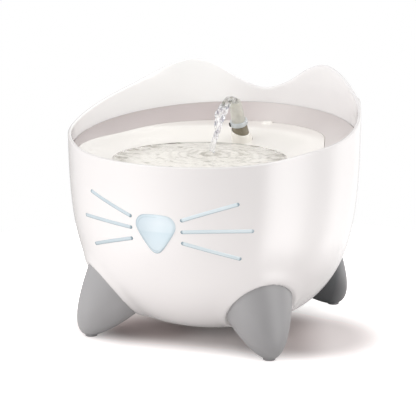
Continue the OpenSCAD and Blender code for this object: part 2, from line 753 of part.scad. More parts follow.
module filter_tray() {
    color(filter_white) at_spout(filter_z) difference() {
        cylinder(h = filter_h, r = filter_r);
        translate([0, 0, filter_wall]) difference() {
            cylinder(h = filter_h, r = filter_r - filter_wall);
            translate([0, 0, -1]) cylinder(h = filter_h + 2, r = filter_bore + filter_wall);
        }
        translate([0, 0, -1]) cylinder(h = filter_h + 2, r = filter_bore);
        filter_holes();
    }
}

module filter_lid() {
    color(filter_white) at_spout(filter_z + filter_h) difference() {
        union() {
            cylinder(h = filter_wall, r = filter_r);
            cylinder(h = filter_wall + lid_collar_h, r = filter_bore + lid_collar_wall);
        }
        translate([0, 0, -1]) cylinder(h = far, r = filter_bore);
        filter_holes();
    }
}

module filter_pad(z0, z1) {
    at_spout(z0) difference() {
        cylinder(h = z1 - z0, r = filter_r - filter_wall - 2 * seat_gap);
        translate([0, 0, -1]) cylinder(h = z1 - z0 + 2, r = filter_bore + filter_wall + 2 * seat_gap);
    }
}

module foam_pad() {
    color(foam_dark) filter_pad(filter_z + filter_wall, filter_z + filter_wall + foam_h);
}

module carbon_pad() {
    color(carbon_black) filter_pad(filter_z + filter_wall + foam_h, filter_z + filter_h - 0.3);
}

// ---- pump ----

rear_wall = 10;
core_y0 = block_y0 + rear_wall;
core_t = 14;
leg_w = 5;
leg_low = 7;
well_wall = 1.4;
coil_t = 2.6;
coil_end = 4;
coil_side = 0.6;
coil_up = 2.3;
rear_bush_t = 3;
rear_bush_r = bush_r + 0.8;
shaft_in = 2;
core_half = well_r + well_wall + leg_w;
well_y0 = core_y0 - rear_bush_t;
yoke_z0 = shaft_z + well_r + well_wall + coil_t + coil_up;
yoke_h = 5;

module stator_core_shape() {
    for (side = [-1, 1])
        translate([spout_x + side * (core_half - leg_w / 2) - leg_w / 2, core_y0, shaft_z - leg_low])
            cube([leg_w, core_t, yoke_z0 + yoke_h - shaft_z + leg_low]);
    translate([spout_x - core_half, core_y0, yoke_z0]) cube([2 * core_half, core_t, yoke_h]);
}

module stator_coil_shape() {
    half = core_half - leg_w - coil_side;
    translate([spout_x - half, core_y0 - coil_end, yoke_z0 - coil_t])
        cube([2 * half, core_t + 2 * coil_end, yoke_h + 2 * coil_t]);
}

module stator_core() {
    color("#7d8084") stator_core_shape();
}

module stator_coil() {
    color("#b87333") difference() {
        stator_coil_shape();
        translate([spout_x - core_half, core_y0, yoke_z0]) cube([2 * core_half, core_t, yoke_h]);
    }
}

gland_in = 5;
gland_out = 6;
gland_y = block_y0 + gland_r + well_wall;
gland_z = block_z + block_h - gland_r - 3;
cup_lip_h = 2;
cup_neck_r = 3.2;
stud_r = 2.4;
stud_h = 2.4;

module pump_body() {
    color(pump_dark) difference() {
        union() {
            translate([spout_x - block_w / 2, block_y0, block_z]) cube([block_w, block_len, block_h]);
            on_shaft(block_y1 - 1, chamber_y1, chamber_r + chamber_wall);
            at_spout(shaft_z) cylinder(h = outlet_z - shaft_z, r = outlet_r);
        }
        on_shaft(chamber_y0 + 2, chamber_y1 + 1, chamber_r);
        on_shaft(well_y0, chamber_y0 + 3, well_r);
        on_shaft(well_y0 - rear_bush_t, core_y0, rear_bush_r + seat_gap);
        at_spout(shaft_z) cylinder(h = far, r = outlet_r - 2);
        stator_core_shape();
        stator_coil_shape();
        translate([spout_x - block_w / 2 - 1, gland_y, gland_z]) rotate([0, 90, 0])
            cylinder(h = 1 + gland_in, r = gland_r + seat_gap);
        for (p = cup_places()) translate([p[0], p[1], block_z - 1])
            cylinder(h = 1 + stud_h + seat_gap, r = stud_r + seat_gap);
    }
}

function cup_places() = [for (x = [-1, 1]) for (y = [block_y0 + cup_r + 1, block_y1 - cup_r])
    [spout_x + x * (block_w / 2 - cup_r), y]];

module suction_cups() {
    color(black_rubber) for (p = cup_places()) translate([p[0], p[1], floor_z + lift_gap]) difference() {
        union() {
            cylinder(h = cup_lip_h, r1 = cup_r, r2 = cup_r - 1.5);
            cylinder(h = cup_h - lift_gap, r = cup_neck_r);
            cylinder(h = cup_h - lift_gap + stud_h, r = stud_r);
        }
        translate([0, 0, -1]) cylinder(h = 0.9 * cup_lip_h, r1 = cup_r + 0.4, r2 = cup_r - 3.5);
    }
}

module pump_gland() {
    color(black_rubber) translate([spout_x - block_w / 2 + gland_in, gland_y, gland_z]) rotate([0, -90, 0])
        difference() {
            union() {
                cylinder(h = gland_in, r = gland_r);
                translate([0, 0, gland_in]) cylinder(h = gland_out, r1 = gland_r, r2 = gland_r - 0.8);
            }
            translate([0, 0, 2]) cylinder(h = far, r = cable_r);
        }
}

cover_y = chamber_y1 + lift_gap;
rail_z = inlet_r + 2.2;
rail_half = 10.5;
rail_t = 1.6;
rail_hook = 1.2;
slider_gap = 0.15;

module pump_cover() {
    rail_y = cover_y + cover_t;
    rail_d = slider_t + 2 * slider_gap;
    hole_ring = inlet_r - inlet_hole_r;
    color(pump_dark) difference() {
        union() {
            on_shaft(cover_y, rail_y, chamber_r + chamber_wall);
            for (s = [0, 1]) translate([spout_x, 0, shaft_z]) mirror([0, 0, s]) {
                translate([-rail_half, rail_y - 0.1, rail_z]) cube([2 * rail_half, rail_d + 1.1, rail_t]);
                translate([-rail_half, rail_y + rail_d, rail_z - rail_hook])
                    cube([2 * rail_half, 1, rail_t + rail_hook]);
            }
        }
        for (a = [0:60:300]) translate([spout_x, cover_y - 1, shaft_z]) rotate([0, a, 0])
            translate([hole_ring, 0, 0]) rotate([-90, 0, 0])
                cylinder(h = cover_t + 2, r = inlet_hole_r, $fn = 32);
        on_shaft(cover_y - 1, cover_y + bush_t, bush_r + seat_gap);
    }
}

module shaft_bush_front() {
    color(black_rubber) difference() {
        on_shaft(cover_y, cover_y + bush_t, bush_r);
        on_shaft(cover_y - 1, cover_y + bush_t - 0.4, shaft_r + run_gap);
    }
}

module shaft_bush_rear() {
    color(black_rubber) difference() {
        on_shaft(well_y0 - rear_bush_t, well_y0, rear_bush_r);
        on_shaft(well_y0 - shaft_in, core_y0, shaft_r);
    }
}

module impeller_shaft() {
    color("#eceae4") on_shaft(well_y0 - shaft_in, cover_y + bush_t - 0.6, shaft_r);
}

magnet_y0 = core_y0 - 2;

module rotor_magnet() {
    color("#4b4d52") difference() {
        on_shaft(magnet_y0, magnet_y0 + magnet_len, magnet_r);
        on_shaft(magnet_y0 - 1, magnet_y0 + magnet_len + 1, shaft_r + run_gap);
    }
}

module impeller() {
    vane_y0 = chamber_y0 + 3;
    vane_y1 = chamber_y1 - 1;
    color(filter_white) difference() {
        union() {
            on_shaft(magnet_y0 + magnet_len, vane_y0 + 1.5, 4);
            on_shaft(vane_y0, vane_y0 + 1.5, impeller_r);
            on_shaft(vane_y0 + 1, vane_y1, 2.6);
            for (a = [0:60:300]) translate([spout_x, vane_y0 + 1, shaft_z]) rotate([0, a, 0])
                translate([2, 0, -0.6]) cube([impeller_r - 2.3, vane_y1 - vane_y0 - 1, 1.2]);
        }
        on_shaft(magnet_y0, cover_y, shaft_r + run_gap);
    }
}

module flow_slider() {
    half_h = rail_z - slider_gap;
    y0 = cover_y + cover_t + slider_gap;
    frame_w = 2;
    grip_half = 3;
    x0 = spout_x - inlet_r - frame_w - slider_travel;
    color(foot_grey) difference() {
        union() {
            translate([x0, y0, shaft_z - half_h])
                cube([2 * (inlet_r + frame_w) + slider_travel, slider_t, 2 * half_h]);
            translate([x0, y0, shaft_z - grip_half]) cube([frame_w, slider_t + 2.5, 2 * grip_half]);
        }
        on_shaft(y0 - 1, y0 + 2 * slider_t, inlet_r + lift_gap);
    }
}

// ---- draw ----

reservoir_shell();
foot_front_left();
foot_front_right();
foot_rear_left();
foot_rear_right();
foot_pads();
nose_lens();
whisker_left_upper();
whisker_left_middle();
whisker_left_lower();
whisker_right_upper();
whisker_right_middle();
whisker_right_lower();
splash_ring();
drinking_dish();
spout_tower();
spout_stem();
spout_nozzle();
spout_collar();
nozzle_stop();
nozzle_seal();
riser_tube();
riser_seal();
filter_tray();
filter_lid();
foam_pad();
carbon_pad();
pump_body();
pump_cover();
impeller();
rotor_magnet();
impeller_shaft();
shaft_bush_rear();
shaft_bush_front();
flow_slider();
suction_cups();
stator_core();
stator_coil();
pump_gland();
cable_grommet();
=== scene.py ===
"""Pet water fountain with a cat's face: the dressed model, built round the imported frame.

Sizes below are in millimetres; skin() turns them into metres when it fills a mesh. Places in
materials, in the room and on the table are in metres. Angles round the bowl are in degrees,
counted from the nose (-Y) towards +X.
"""

import math

import bpy
import numpy as np
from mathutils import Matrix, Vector


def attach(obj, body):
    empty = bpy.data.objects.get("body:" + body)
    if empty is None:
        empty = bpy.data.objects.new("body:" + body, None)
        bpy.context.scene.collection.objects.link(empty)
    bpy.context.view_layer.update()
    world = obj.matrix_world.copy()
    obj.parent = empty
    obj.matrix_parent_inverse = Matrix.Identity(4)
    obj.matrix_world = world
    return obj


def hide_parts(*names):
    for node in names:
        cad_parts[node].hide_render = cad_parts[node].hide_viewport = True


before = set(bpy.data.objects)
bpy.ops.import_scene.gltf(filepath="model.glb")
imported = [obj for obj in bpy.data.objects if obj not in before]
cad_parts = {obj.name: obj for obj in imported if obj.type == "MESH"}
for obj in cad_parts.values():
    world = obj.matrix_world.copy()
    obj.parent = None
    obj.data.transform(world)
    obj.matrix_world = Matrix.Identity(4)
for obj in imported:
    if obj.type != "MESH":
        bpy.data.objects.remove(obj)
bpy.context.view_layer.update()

# ---------------------------------------------------------------------------------------
# Camera, lamps and floor.
# A long lens a little above the rim, off to the right of the nose. Two large soft lamps, the
# stronger one on the right, stand over a pale table that keeps the soft shadow.
# ---------------------------------------------------------------------------------------
scene = bpy.context.scene
scene.view_settings.view_transform = "Standard"

camera_data = bpy.data.cameras.new("long_lens")
camera_data.lens = 122.78
camera_data.sensor_width = 36
camera = bpy.data.objects.new("camera", camera_data)
camera.location = (0.443451, -1.081953, 0.373821)
camera.rotation_mode = "QUATERNION"
camera.rotation_quaternion = Vector((-0.37324, 0.89912, -0.22863)).to_track_quat("-Z", "Y")
scene.collection.objects.link(camera)
scene.camera = camera
lamp_height, lamp_distance = math.radians(50), 1.15
lamp_size, lamp_colour = (0.8, 0.6), (1.0, 0.993, 0.992)


def soft_lamp(name, angle, watts):
    """An area lamp at an angle round the bowl, aimed down at the bowl's middle."""
    data = bpy.data.lights.new(name, "AREA")
    data.shape = "RECTANGLE"
    data.size, data.size_y = lamp_size
    data.energy = watts
    data.color = lamp_colour
    lamp = bpy.data.objects.new(name, data)
    a, level = math.radians(angle), math.cos(lamp_height)
    away = Vector((math.sin(a) * level, -math.cos(a) * level, math.sin(lamp_height)))
    lamp.location = Vector((0, 0, 0.1)) + away * lamp_distance
    lamp.rotation_mode = "QUATERNION"
    lamp.rotation_quaternion = (-away).to_track_quat("-Z", "Y")
    scene.collection.objects.link(lamp)


soft_lamp("key_left", -60, 1.85)
soft_lamp("high_right", 80, 3.1)


def fill(tree, node, values):
    """Sets sockets of a shader node by name or place, or its own settings where no socket has the name.
    An output is linked, and a node given in its place stands for its first output in use."""
    for name, value in values:
        label = name
        if isinstance(name, str) and name not in node.inputs:
            label = name.replace("_", " ").title()
            if label not in node.inputs:
                setattr(node, name, value)
                continue
        if isinstance(value, bpy.types.Node):
            value = next(output for output in value.outputs if output.enabled)
        if isinstance(value, bpy.types.NodeSocket):
            tree.links.new(value, node.inputs[label])
        else:
            node.inputs[label].default_value = value
    return node


def add(tree, kind, *sockets, **named):
    """A new shader node: its named settings and sockets first, then the others from the first one on."""
    return fill(tree, tree.nodes.new(kind), [*named.items(), *enumerate(sockets)])


def ranged(tree, value, start, end, low=0.0, high=1.0, ease="LINEAR"):
    """A value from the range start to end, taken into the range low to high and kept inside it."""
    return add(tree, "ShaderNodeMapRange", value, start, end, low, high, interpolation_type=ease)


def math_node(tree, operation, *values):
    """A sum, product or other operation on numbers."""
    return add(tree, "ShaderNodeMath", *values, operation=operation)


def ramp(tree, value, stops, kind="B_SPLINE"):
    """Colour that follows a value through stops, each a place from 0 to 1 and a colour."""
    node = add(tree, "ShaderNodeValToRGB", value)
    node.color_ramp.interpolation = kind
    points = node.color_ramp.elements
    for k, (at, colour) in enumerate(stops):
        point = points[0] if k == 0 else points[-1] if k == len(stops) - 1 else points.new(at)
        point.position, point.color = at, colour
    return node


def light_rays(tree):
    """What kind of ray looks, and a mark for those from the camera or through clear pieces."""
    rays = add(tree, "ShaderNodeLightPath").outputs
    return rays, math_node(tree, "MAXIMUM", rays["Is Camera Ray"], rays["Is Transmission Ray"])


# The room: white for the eye and behind clear pieces. It lights the object most from the left and least from
# the right of the nose, and shows it an upright softbox on the right in its gloss.
world = bpy.data.worlds.new("studio_room")
scene.world = world
world.use_nodes = True
room = world.node_tree
room.nodes.clear()
way = add(room, "ShaderNodeSeparateXYZ", add(room, "ShaderNodeTexCoord").outputs["Generated"]).outputs
turn = math_node(room, "ARCTAN2", way["X"], math_node(room, "MULTIPLY", way["Y"], -1))
turn_share = ranged(room, turn, -math.pi, math.pi)


def room_wall(stops, tint, most, z_from, z_to, there):
    """Background whose strength follows the angle round the bowl: pairs of degrees and strength up to most,
    eased between. From z_from to z_to, as the sine of the height above the horizon, it changes to the share
    there of that."""
    colours = [
        ((degrees + 180) / 360, (*(part * strength / most for part in tint), 1)) for degrees, strength in stops
    ]
    level = ranged(room, way["Z"], z_from, z_to, most, most * there, "SMOOTHSTEP")
    return add(room, "ShaderNodeBackground", ramp(room, turn_share, colours), level)


lighting = room_wall(
    ((-180, 1.1), (-120, 1.25), (-85, 1.5), (-52, 1.95), (-24, 1.65), (-5, 1.25), (22, 0.85), (50, 0.76),
     (95, 1.2), (140, 1.25), (180, 1.1)),
    tint=(1.0, 0.991, 0.991), most=2.1, z_from=0.1, z_to=0.6, there=0.57,
)
gloss = room_wall(
    ((-180, 1.1), (-155, 0.6), (-130, 0.4), (-100, 0.6), (-70, 1.2), (-40, 2.3), (-24, 1.9), (-8, 1.3),
     (12, 0.7), (32, 0.5), (54, 0.45), (60, 0.6), (66, 3.0), (74, 4.1), (86, 4.0), (96, 3.1), (106, 1.8),
     (116, 1.6), (124, 1.8), (134, 2.7), (148, 2.0), (162, 1.5), (180, 1.3)),
    tint=(1.0, 0.99, 0.985), most=5.0, z_from=-0.45, z_to=-0.78, there=0.2,
)
rays, seen = light_rays(room)
by_gloss = add(room, "ShaderNodeMixShader", rays["Is Glossy Ray"], lighting, gloss)
white = add(room, "ShaderNodeBackground", (1, 1, 1, 1), 1.0)
add(room, "ShaderNodeOutputWorld", add(room, "ShaderNodeMixShader", seen, by_gloss, white))

# The table: a matt pale sheet, its shadow a little rosy. For the eye only, a painted glow brightens it towards
# white away from the object, which sets where the shadow ends, and painted shadows darken it close in under the
# left and the right feet. The gloss sees only its middle.
table_r, gloss_from, gloss_to, table_sides = 0.38, 0.15, 0.26, 96
edge = np.linspace(0, 2 * np.pi, table_sides, endpoint=False)
table_mesh = bpy.data.meshes.new("table")
corners = np.stack([table_r * np.cos(edge), table_r * np.sin(edge), 0 * edge], axis=1)
table_mesh.from_pydata(corners.tolist(), [], [list(range(table_sides))])
table = bpy.data.objects.new("table", table_mesh)
scene.collection.objects.link(table)
table_top = bpy.data.materials.new("table_top")
table_top.use_nodes = True
top = table_top.node_tree
top.nodes.clear()
place = add(top, "ShaderNodeTexCoord").outputs["Object"]
rays, seen = light_rays(top)


def vector_node(tree, operation, *values):
    """An operation on vectors."""
    return add(tree, "ShaderNodeVectorMath", *values, operation=operation)


def blend(tree, share, first, second, kind="MIX"):
    """Colour between two others by a share, or their product for the kind MULTIPLY."""
    return add(tree, "ShaderNodeMix", data_type="RGBA", blend_type=kind, factor=share, a=first, b=second)


def near_line(start, end, inner, outer, share_in, share_out):
    """Eased value on the table for the eye: share_in up to inner from a line, share_out from outer on."""
    start, along = Vector((*start, 0)), Vector((*end, 0)) - Vector((*start, 0))
    from_start = vector_node(top, "SUBTRACT", place, start)
    part = vector_node(top, "DOT_PRODUCT", from_start, along / along.length_squared)
    foot = add(top, "ShaderNodeVectorMath", along, operation="SCALE", scale=add(top, "ShaderNodeClamp", part))
    gap = vector_node(top, "DISTANCE", from_start, foot)
    return math_node(top, "MULTIPLY", ranged(top, gap, inner, outer, share_in, share_out, "SMOOTHSTEP"), seen)


sheet = blend(top, seen, (0.97, 0.955, 0.95, 1), (0.86, 0.81, 0.80, 1))
# Painted shadows: the table darkened for the eye close in under the left and the right feet.
painted_shadow_left = near_line((-0.078, -0.054), (-0.03, -0.04), 0.01, 0.045, 1, 0)
sheet = blend(top, painted_shadow_left, sheet, (0.55, 0.475, 0.465, 1))
painted_shadow_right = near_line((0.040, 0.055), (0.080, -0.050), 0.008, 0.045, 1, 0)
sheet = blend(top, painted_shadow_right, sheet, (0.56, 0.505, 0.495, 1))
# Painted glow for the eye: the table brightened to white away from the object, which sets where the shadow
# ends.
painted_glow_share = near_line((-0.040, -0.030), (0.091, -0.010), 0.032, 0.095, 0.0, 0.95)
glow = add(top, "ShaderNodeEmission", (1.0, 0.995, 0.99, 1), painted_glow_share)
matt = add(top, "ShaderNodeAddShader", add(top, "ShaderNodeBsdfDiffuse", sheet), glow)
outside = ranged(top, vector_node(top, "LENGTH", place), gloss_from, gloss_to)
open_share = math_node(top, "MULTIPLY", outside, rays["Is Glossy Ray"])
open_top = add(top, "ShaderNodeMixShader", open_share, matt, add(top, "ShaderNodeBsdfTransparent"))
add(top, "ShaderNodeOutputMaterial", open_top)
table_mesh.materials.append(table_top)

# ---------------------------------------------------------------------------------------
# Bowl shell: the white reservoir, one moulding of glossy plastic with a wall of 2.8 mm.
# Its rim rises into two ears, and the wall swells into a cuff where each foot is let in.
# The rear wall is bored for the cable grommet.
# ---------------------------------------------------------------------------------------
bowl_r, bowl_bottom, bowl_shoulder = 122.0, 5.3, 206.7
side_power, fullness = 4.18, 2.72
wall, base_z, floor_z = 2.8, 6.0, 14.0
rim_front, ear_tip, rim_rear, ear_angle = 158.5, 211.33, 186.0, 149.0
ledge_z, ledge_reach = 149.0, 2.5
foot_lean, foot_round, pad_proud = math.radians(38.8), 17.6, 0.5
cuff_swell, cuff_reach = 1.7, 5.5
feet_places = {
    "foot_front_left": (-45.6, 117.8),
    "foot_front_right": (45.6, 117.8),
    "foot_rear_right": (137.2, 125.0),
    "foot_rear_left": (-137.2, 125.0),
}


def bowl_radius(z, offset=0.0):
    """Radius of the bowl at height z: a superellipse, full round at the shoulder and closing in to the base.
    With down as the share of the depth below the shoulder, it is r * (1 - down^4.18)^(1 / 2.72)."""
    down = np.clip((bowl_shoulder - z) / (bowl_shoulder - bowl_bottom + offset), 0, 1)
    return (bowl_r + offset) * (1 - down**side_power) ** (1 / fullness)


def rim_height(angle):
    """Height of the rim round the bowl: a smooth cubic through stations from the front up to the ear tip and
    down to the saddle at the back, the same on both sides."""
    up = np.array([[0, 0], [0.24, 0.03], [0.4, 0.135], [0.54, 0.225], [0.67, 0.39], [0.81, 0.63], [0.94, 0.93]])
    down = np.array([[0, 1], [0.3, 0.8], [0.645, 0.275], [1, 0]])
    at = np.concatenate([up[:, 0] * ear_angle, ear_angle + down[:, 0] * (180 - ear_angle)])
    rising, falling = rim_front + up[:, 1] * (ear_tip - rim_front), rim_rear + down[:, 1] * (ear_tip - rim_rear)
    z = np.concatenate([rising, falling])
    slope = np.zeros(len(at))
    slope[1:-1] = (z[2:] - z[:-2]) / (at[2:] - at[:-2])
    a = np.abs((angle + 180) % 360 - 180)
    i = np.clip(np.searchsorted(at, a, side="right") - 1, 0, len(at) - 2)
    d = at[i + 1] - at[i]
    t = (a - at[i]) / d
    ends = z[i] * (2 * t**3 - 3 * t**2 + 1) + z[i + 1] * (3 * t**2 - 2 * t**3)
    return ends + d * slope[i] * (t**3 - 2 * t**2 + t) + d * slope[i + 1] * (t**3 - t**2)


def around(radius, angle, z):
    """Points at a radius, an angle round the bowl and a height, as an array with the three coordinates last."""
    a = np.radians(angle)
    radius, a, z = np.broadcast_arrays(radius, a, z)
    return np.stack([radius * np.sin(a), -radius * np.cos(a), z], axis=-1)


def foot_frame(angle, reach):
    """Tip, outward direction, sideways direction and leaning axis of a foot."""
    a = math.radians(angle)
    out_way = np.array([math.sin(a), -math.cos(a), 0])
    sideways = np.array([math.cos(a), math.sin(a), 0])
    up = np.array([0, 0, 1.0])
    axis = -math.sin(foot_lean) * out_way + math.cos(foot_lean) * up
    return reach * out_way + foot_tip * up, out_way, sideways, axis


foot_low_t = foot_round * math.tan(foot_lean) ** 2 / 4
foot_low_r = foot_round * math.tan(foot_lean) / 2
foot_tip = pad_proud - (foot_low_t * math.cos(foot_lean) - foot_low_r * math.sin(foot_lean))


def outside_foot(points):
    """How far points are outside the nearest foot's surface: the gap across the axis to the paraboloid
    r^2 = 17.6 t, shortened by its slope."""
    nearest = np.full(points.shape[:-1], 1e3)
    for angle, reach in feet_places.values():
        tip, _, _, axis = foot_frame(angle, reach)
        p = points - tip
        t = p @ axis
        across = np.sqrt(np.maximum((p**2).sum(-1) - t**2, 0))
        r = np.sqrt(foot_round * np.maximum(t, 0.5))
        nearest = np.minimum(nearest, (across - r) / np.sqrt(1 + (foot_round / (2 * r)) ** 2))
    return nearest


def skin(name, grid, ring=False, sharp=None):
    """Object from a grid of points: rows along the profile, columns round the piece, which always close.
    The last row joins the first in a ring, and otherwise both are poles that become one vertex each. The
    faces are turned outwards by the sign of the enclosed volume."""
    n, m, _ = grid.shape
    index = np.arange(n * m).reshape(n, m)
    if ring:
        low, high = index, np.roll(index, -1, axis=0)
    else:
        index[0], index[-1] = index[0, 0], index[-1, 0]
        low, high = index[:-1], index[1:]
    faces = np.stack([low, np.roll(low, -1, axis=1), np.roll(high, -1, axis=1), high], axis=-1).reshape(-1, 4)
    flat_low = faces[:, 0] == faces[:, 1]
    flat_high = faces[:, 2] == faces[:, 3]
    used, faces = np.unique(faces, return_inverse=True)
    faces = faces.reshape(-1, 4)
    points = grid.reshape(-1, 3)[used] * 0.001
    a, b, c, d = (points[faces[:, k]] for k in range(4))
    volume = (np.cross(a, b) * c).sum() + (np.cross(a, c) * d).sum()
    step = 1 if volume > 0 else -1
    quads = faces[~(flat_low | flat_high)][:, ::step]
    tris = np.concatenate([faces[flat_low][:, [0, 2, 3]], faces[flat_high][:, [0, 1, 2]]])[:, ::step]
    mesh = bpy.data.meshes.new(name)
    mesh.from_pydata(points.tolist(), [], quads.tolist() + tris.tolist())
    mesh.shade_smooth()
    if sharp:
        mesh.set_sharp_from_angle(angle=math.radians(sharp))
    piece = bpy.data.objects.new(name, mesh)
    scene.collection.objects.link(piece)
    return piece


def bored(piece, cutters, sharp=40):
    """The piece with the cutters taken out of it, as a plain mesh again. The cutters are deleted."""
    for cutter in cutters:
        cut = piece.modifiers.new("bore", "BOOLEAN")
        cut.operation = "DIFFERENCE"
        cut.solver = "MANIFOLD"
        cut.object = cutter
    bpy.context.view_layer.update()
    done = bpy.data.meshes.new_from_object(piece.evaluated_get(bpy.context.evaluated_depsgraph_get()))
    piece.modifiers.clear()
    piece.data = done
    done.shade_smooth()
    done.set_sharp_from_angle(angle=math.radians(sharp))
    for cutter in cutters:
        bpy.data.objects.remove(cutter)
    return piece


def straight_cutter(name, centre, axis, radius, length, sides=48):
    """A round cutter: a closed cylinder of that radius from the centre along the axis."""
    n = Vector(axis).normalized()
    u = np.array(n.orthogonal().normalized())
    v = np.cross(np.array(n), u)
    turn = np.linspace(0, 2 * np.pi, sides, endpoint=False)[None, :, None]
    rows = np.array([[0, 0], [radius, 0], [radius, length], [0, length]])
    grid = np.array(centre) + rows[:, 0, None, None] * (np.cos(turn) * u + np.sin(turn) * v)
    grid = grid + rows[:, 1, None, None] * np.array(n)
    return skin(name, grid)


def moulded_group():
    """Node group for moulded plastic: a cloudy shift between two colours, a roughness that drifts slowly
    over the surface, and the fine even grain of the mould as a height."""
    group = bpy.data.node_groups.new("moulded_surface", "ShaderNodeTree")
    for way_in, label, kind in (
        ("INPUT", "Place", "Vector"), ("INPUT", "Colour", "Color"), ("INPUT", "Cloud Colour", "Color"),
        ("INPUT", "Cloud Scale", "Float"), ("INPUT", "Smooth", "Float"), ("INPUT", "Rough", "Float"),
        ("INPUT", "Grain Scale", "Float"),
        ("OUTPUT", "Colour", "Color"), ("OUTPUT", "Roughness", "Float"), ("OUTPUT", "Height", "Float"),
    ):
        group.interface.new_socket(name=label, in_out=way_in, socket_type="NodeSocket" + kind)
    given = add(group, "NodeGroupInput").outputs
    place, scale = given["Place"], given["Cloud Scale"]
    drift_scale = math_node(group, "MULTIPLY", scale, 2.3)
    cloud = add(group, "ShaderNodeTexNoise", place, detail=3.0, roughness=0.5, scale=scale)
    drift = add(group, "ShaderNodeTexNoise", place, detail=2.0, roughness=0.6, scale=drift_scale)
    grain = add(group, "ShaderNodeTexNoise", place, detail=2.0, roughness=0.7, scale=given["Grain Scale"])
    colour = blend(group, cloud, given["Colour"], given["Cloud Colour"])
    roughness = ranged(group, drift, 0.3, 0.7, given["Smooth"], given["Rough"])
    add(group, "NodeGroupOutput", colour, roughness, grain)
    return group


moulded = moulded_group()


def object_place(tree):
    """The place on the object that is shaded."""
    return add(tree, "ShaderNodeTexCoord").outputs["Object"]


def shaded(material, **values):
    """The material with these sockets of its shader set or linked."""
    fill(material.node_tree, material.node_tree.nodes["Principled BSDF"], values.items())
    return material


def new_material(name):
    """A material that uses nodes."""
    material = bpy.data.materials.new(name)
    material.use_nodes = True
    return material


def surfaced(name, colour, cloud, cloud_scale, smooth, rough, grain_scale=1400.0, **values):
    """A material with the colour and roughness of the shared surface group. The colour may be a function
    that is given the tree and returns an output."""
    material = new_material(name)
    tree = material.node_tree
    surface = add(
        tree, "ShaderNodeGroup", node_tree=moulded, name="moulded", place=object_place(tree),
        colour=colour(tree) if callable(colour) else colour, cloud_colour=cloud, cloud_scale=cloud_scale,
        smooth=smooth, rough=rough, grain_scale=grain_scale,
    ).outputs
    return shaded(material, base_color=surface["Colour"], roughness=surface["Roughness"], **values)


def plastic(
    name, colour, cloud, smooth, rough, cloud_scale=14.0, grain_scale=1400.0, grain=0.02, coat=0.0, ior=1.5
):
    """A moulded plastic: the shared surface with a slight bump, and a coat where it is glossy."""
    material = surfaced(
        name, colour, cloud, cloud_scale, smooth, rough, grain_scale,
        IOR=ior, coat_weight=coat, coat_roughness=0.05,
    )
    tree = material.node_tree
    height = tree.nodes["moulded"].outputs["Height"]
    return shaded(material, normal=add(tree, "ShaderNodeBump", strength=grain, distance=0.0002, height=height))


def finish_piece(piece, material, body, slot, *nodes):
    """Gives a piece its material and the body it rides on, and hides the frame's nodes that it stands for. The
    slot is not used.
    """
    piece.data.materials.clear()
    piece.data.materials.append(material)
    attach(piece, body)
    if nodes:
        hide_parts(*nodes)


# The grid's columns, as angles round the bowl: closer together at the feet, where the wall swells.
column_count, extra_near_feet, feet_width = 448, 3.2, 20
crowding = np.linspace(0, 360, 1441)
density = 1 + sum(
    extra_near_feet * np.exp(-((((crowding - a + 180) % 360 - 180) / feet_width) ** 2))
    for a, _ in feet_places.values()
)
share = np.concatenate([[0], np.cumsum((density[1:] + density[:-1]) / 2)])
columns = np.interp(np.arange(column_count) / column_count, share / share[-1], crowding)[None, :]

top = rim_height(columns)
lip = wall / 2
climb = (np.linspace(0, 1, 118) ** 1.45)[:, None]
outer_z = base_z + climb * (top - lip - base_z)
outer_r = bowl_radius(outer_z)
lean = (bowl_radius(outer_z + 0.05) - bowl_radius(outer_z - 0.05)) / 0.1
gap = outside_foot(around(outer_r, columns, outer_z))
rise = np.clip((gap + 0.2) / 1.4, 0, 1)
cuff = cuff_swell * rise * rise * (3 - 2 * rise) * np.exp(-(np.maximum(gap - 1.2, 0) / cuff_reach) ** 2)
flat = np.sqrt(1 + lean**2)
outer = around(outer_r + cuff / flat, columns, outer_z - cuff * lean / flat)
turn = np.linspace(0, np.pi, 11)[1:-1, None]
rim_row = around(bowl_radius(top - lip) - lip + lip * np.cos(turn), columns, top - lip + lip * np.sin(turn))
drop = np.linspace(0, 1, 16)[:, None]
inner_z = top - lip + drop * (ledge_z + 0.4 - top + lip)
inner_upper = around(bowl_radius(inner_z, -wall), columns, inner_z)
inside_ledge = float(bowl_radius(ledge_z, -wall))
ledge_r = inside_ledge - ledge_reach
ledge_rows = np.array([
    [inside_ledge - 0.1, ledge_z + 0.12], [inside_ledge - 0.4, ledge_z], [ledge_r + 0.4, ledge_z],
    [ledge_r + 0.1, ledge_z - 0.1], [ledge_r, ledge_z - 0.4], [ledge_r, ledge_z - 1.3],
    [ledge_r + 0.2, ledge_z - 1.6], [float(bowl_radius(ledge_z - 6, -wall)), ledge_z - 6],
])
ledge = around(ledge_rows[:, :1], columns, ledge_rows[:, 1:])
depth = floor_z + (ledge_z - 8 - floor_z) * (np.linspace(1, 0, 26)[:, None] ** 1.7)
inner_lower = around(bowl_radius(depth, -wall), columns, depth + 0 * columns)
floor_edge = float(bowl_radius(floor_z, -wall))
inner_floor = around(np.array([[floor_edge * 0.97], [floor_edge * 0.6], [0.0]]), columns, floor_z)
base_edge = float(bowl_radius(base_z))
under = around(np.array([[0.0], [base_edge * 0.7], [base_edge - 0.4]]), columns, base_z)
bowl_grid = np.concatenate([under, outer, rim_row, inner_upper, ledge, inner_lower, inner_floor])
bowl = skin("bowl_shell", bowl_grid)
grommet_z, grommet_r, flange_r = 118.0, 6.0, 8.0
seat_y = float(bowl_radius(grommet_z, -wall)) + 2
bored(bowl, [
    straight_cutter("cable_bore", (0, 100, grommet_z), (0, 1, 0), grommet_r + 0.1, 40),
    straight_cutter("cable_seat", (0, seat_y, grommet_z), (0, 1, 0), flange_r + 0.2, 20),
])


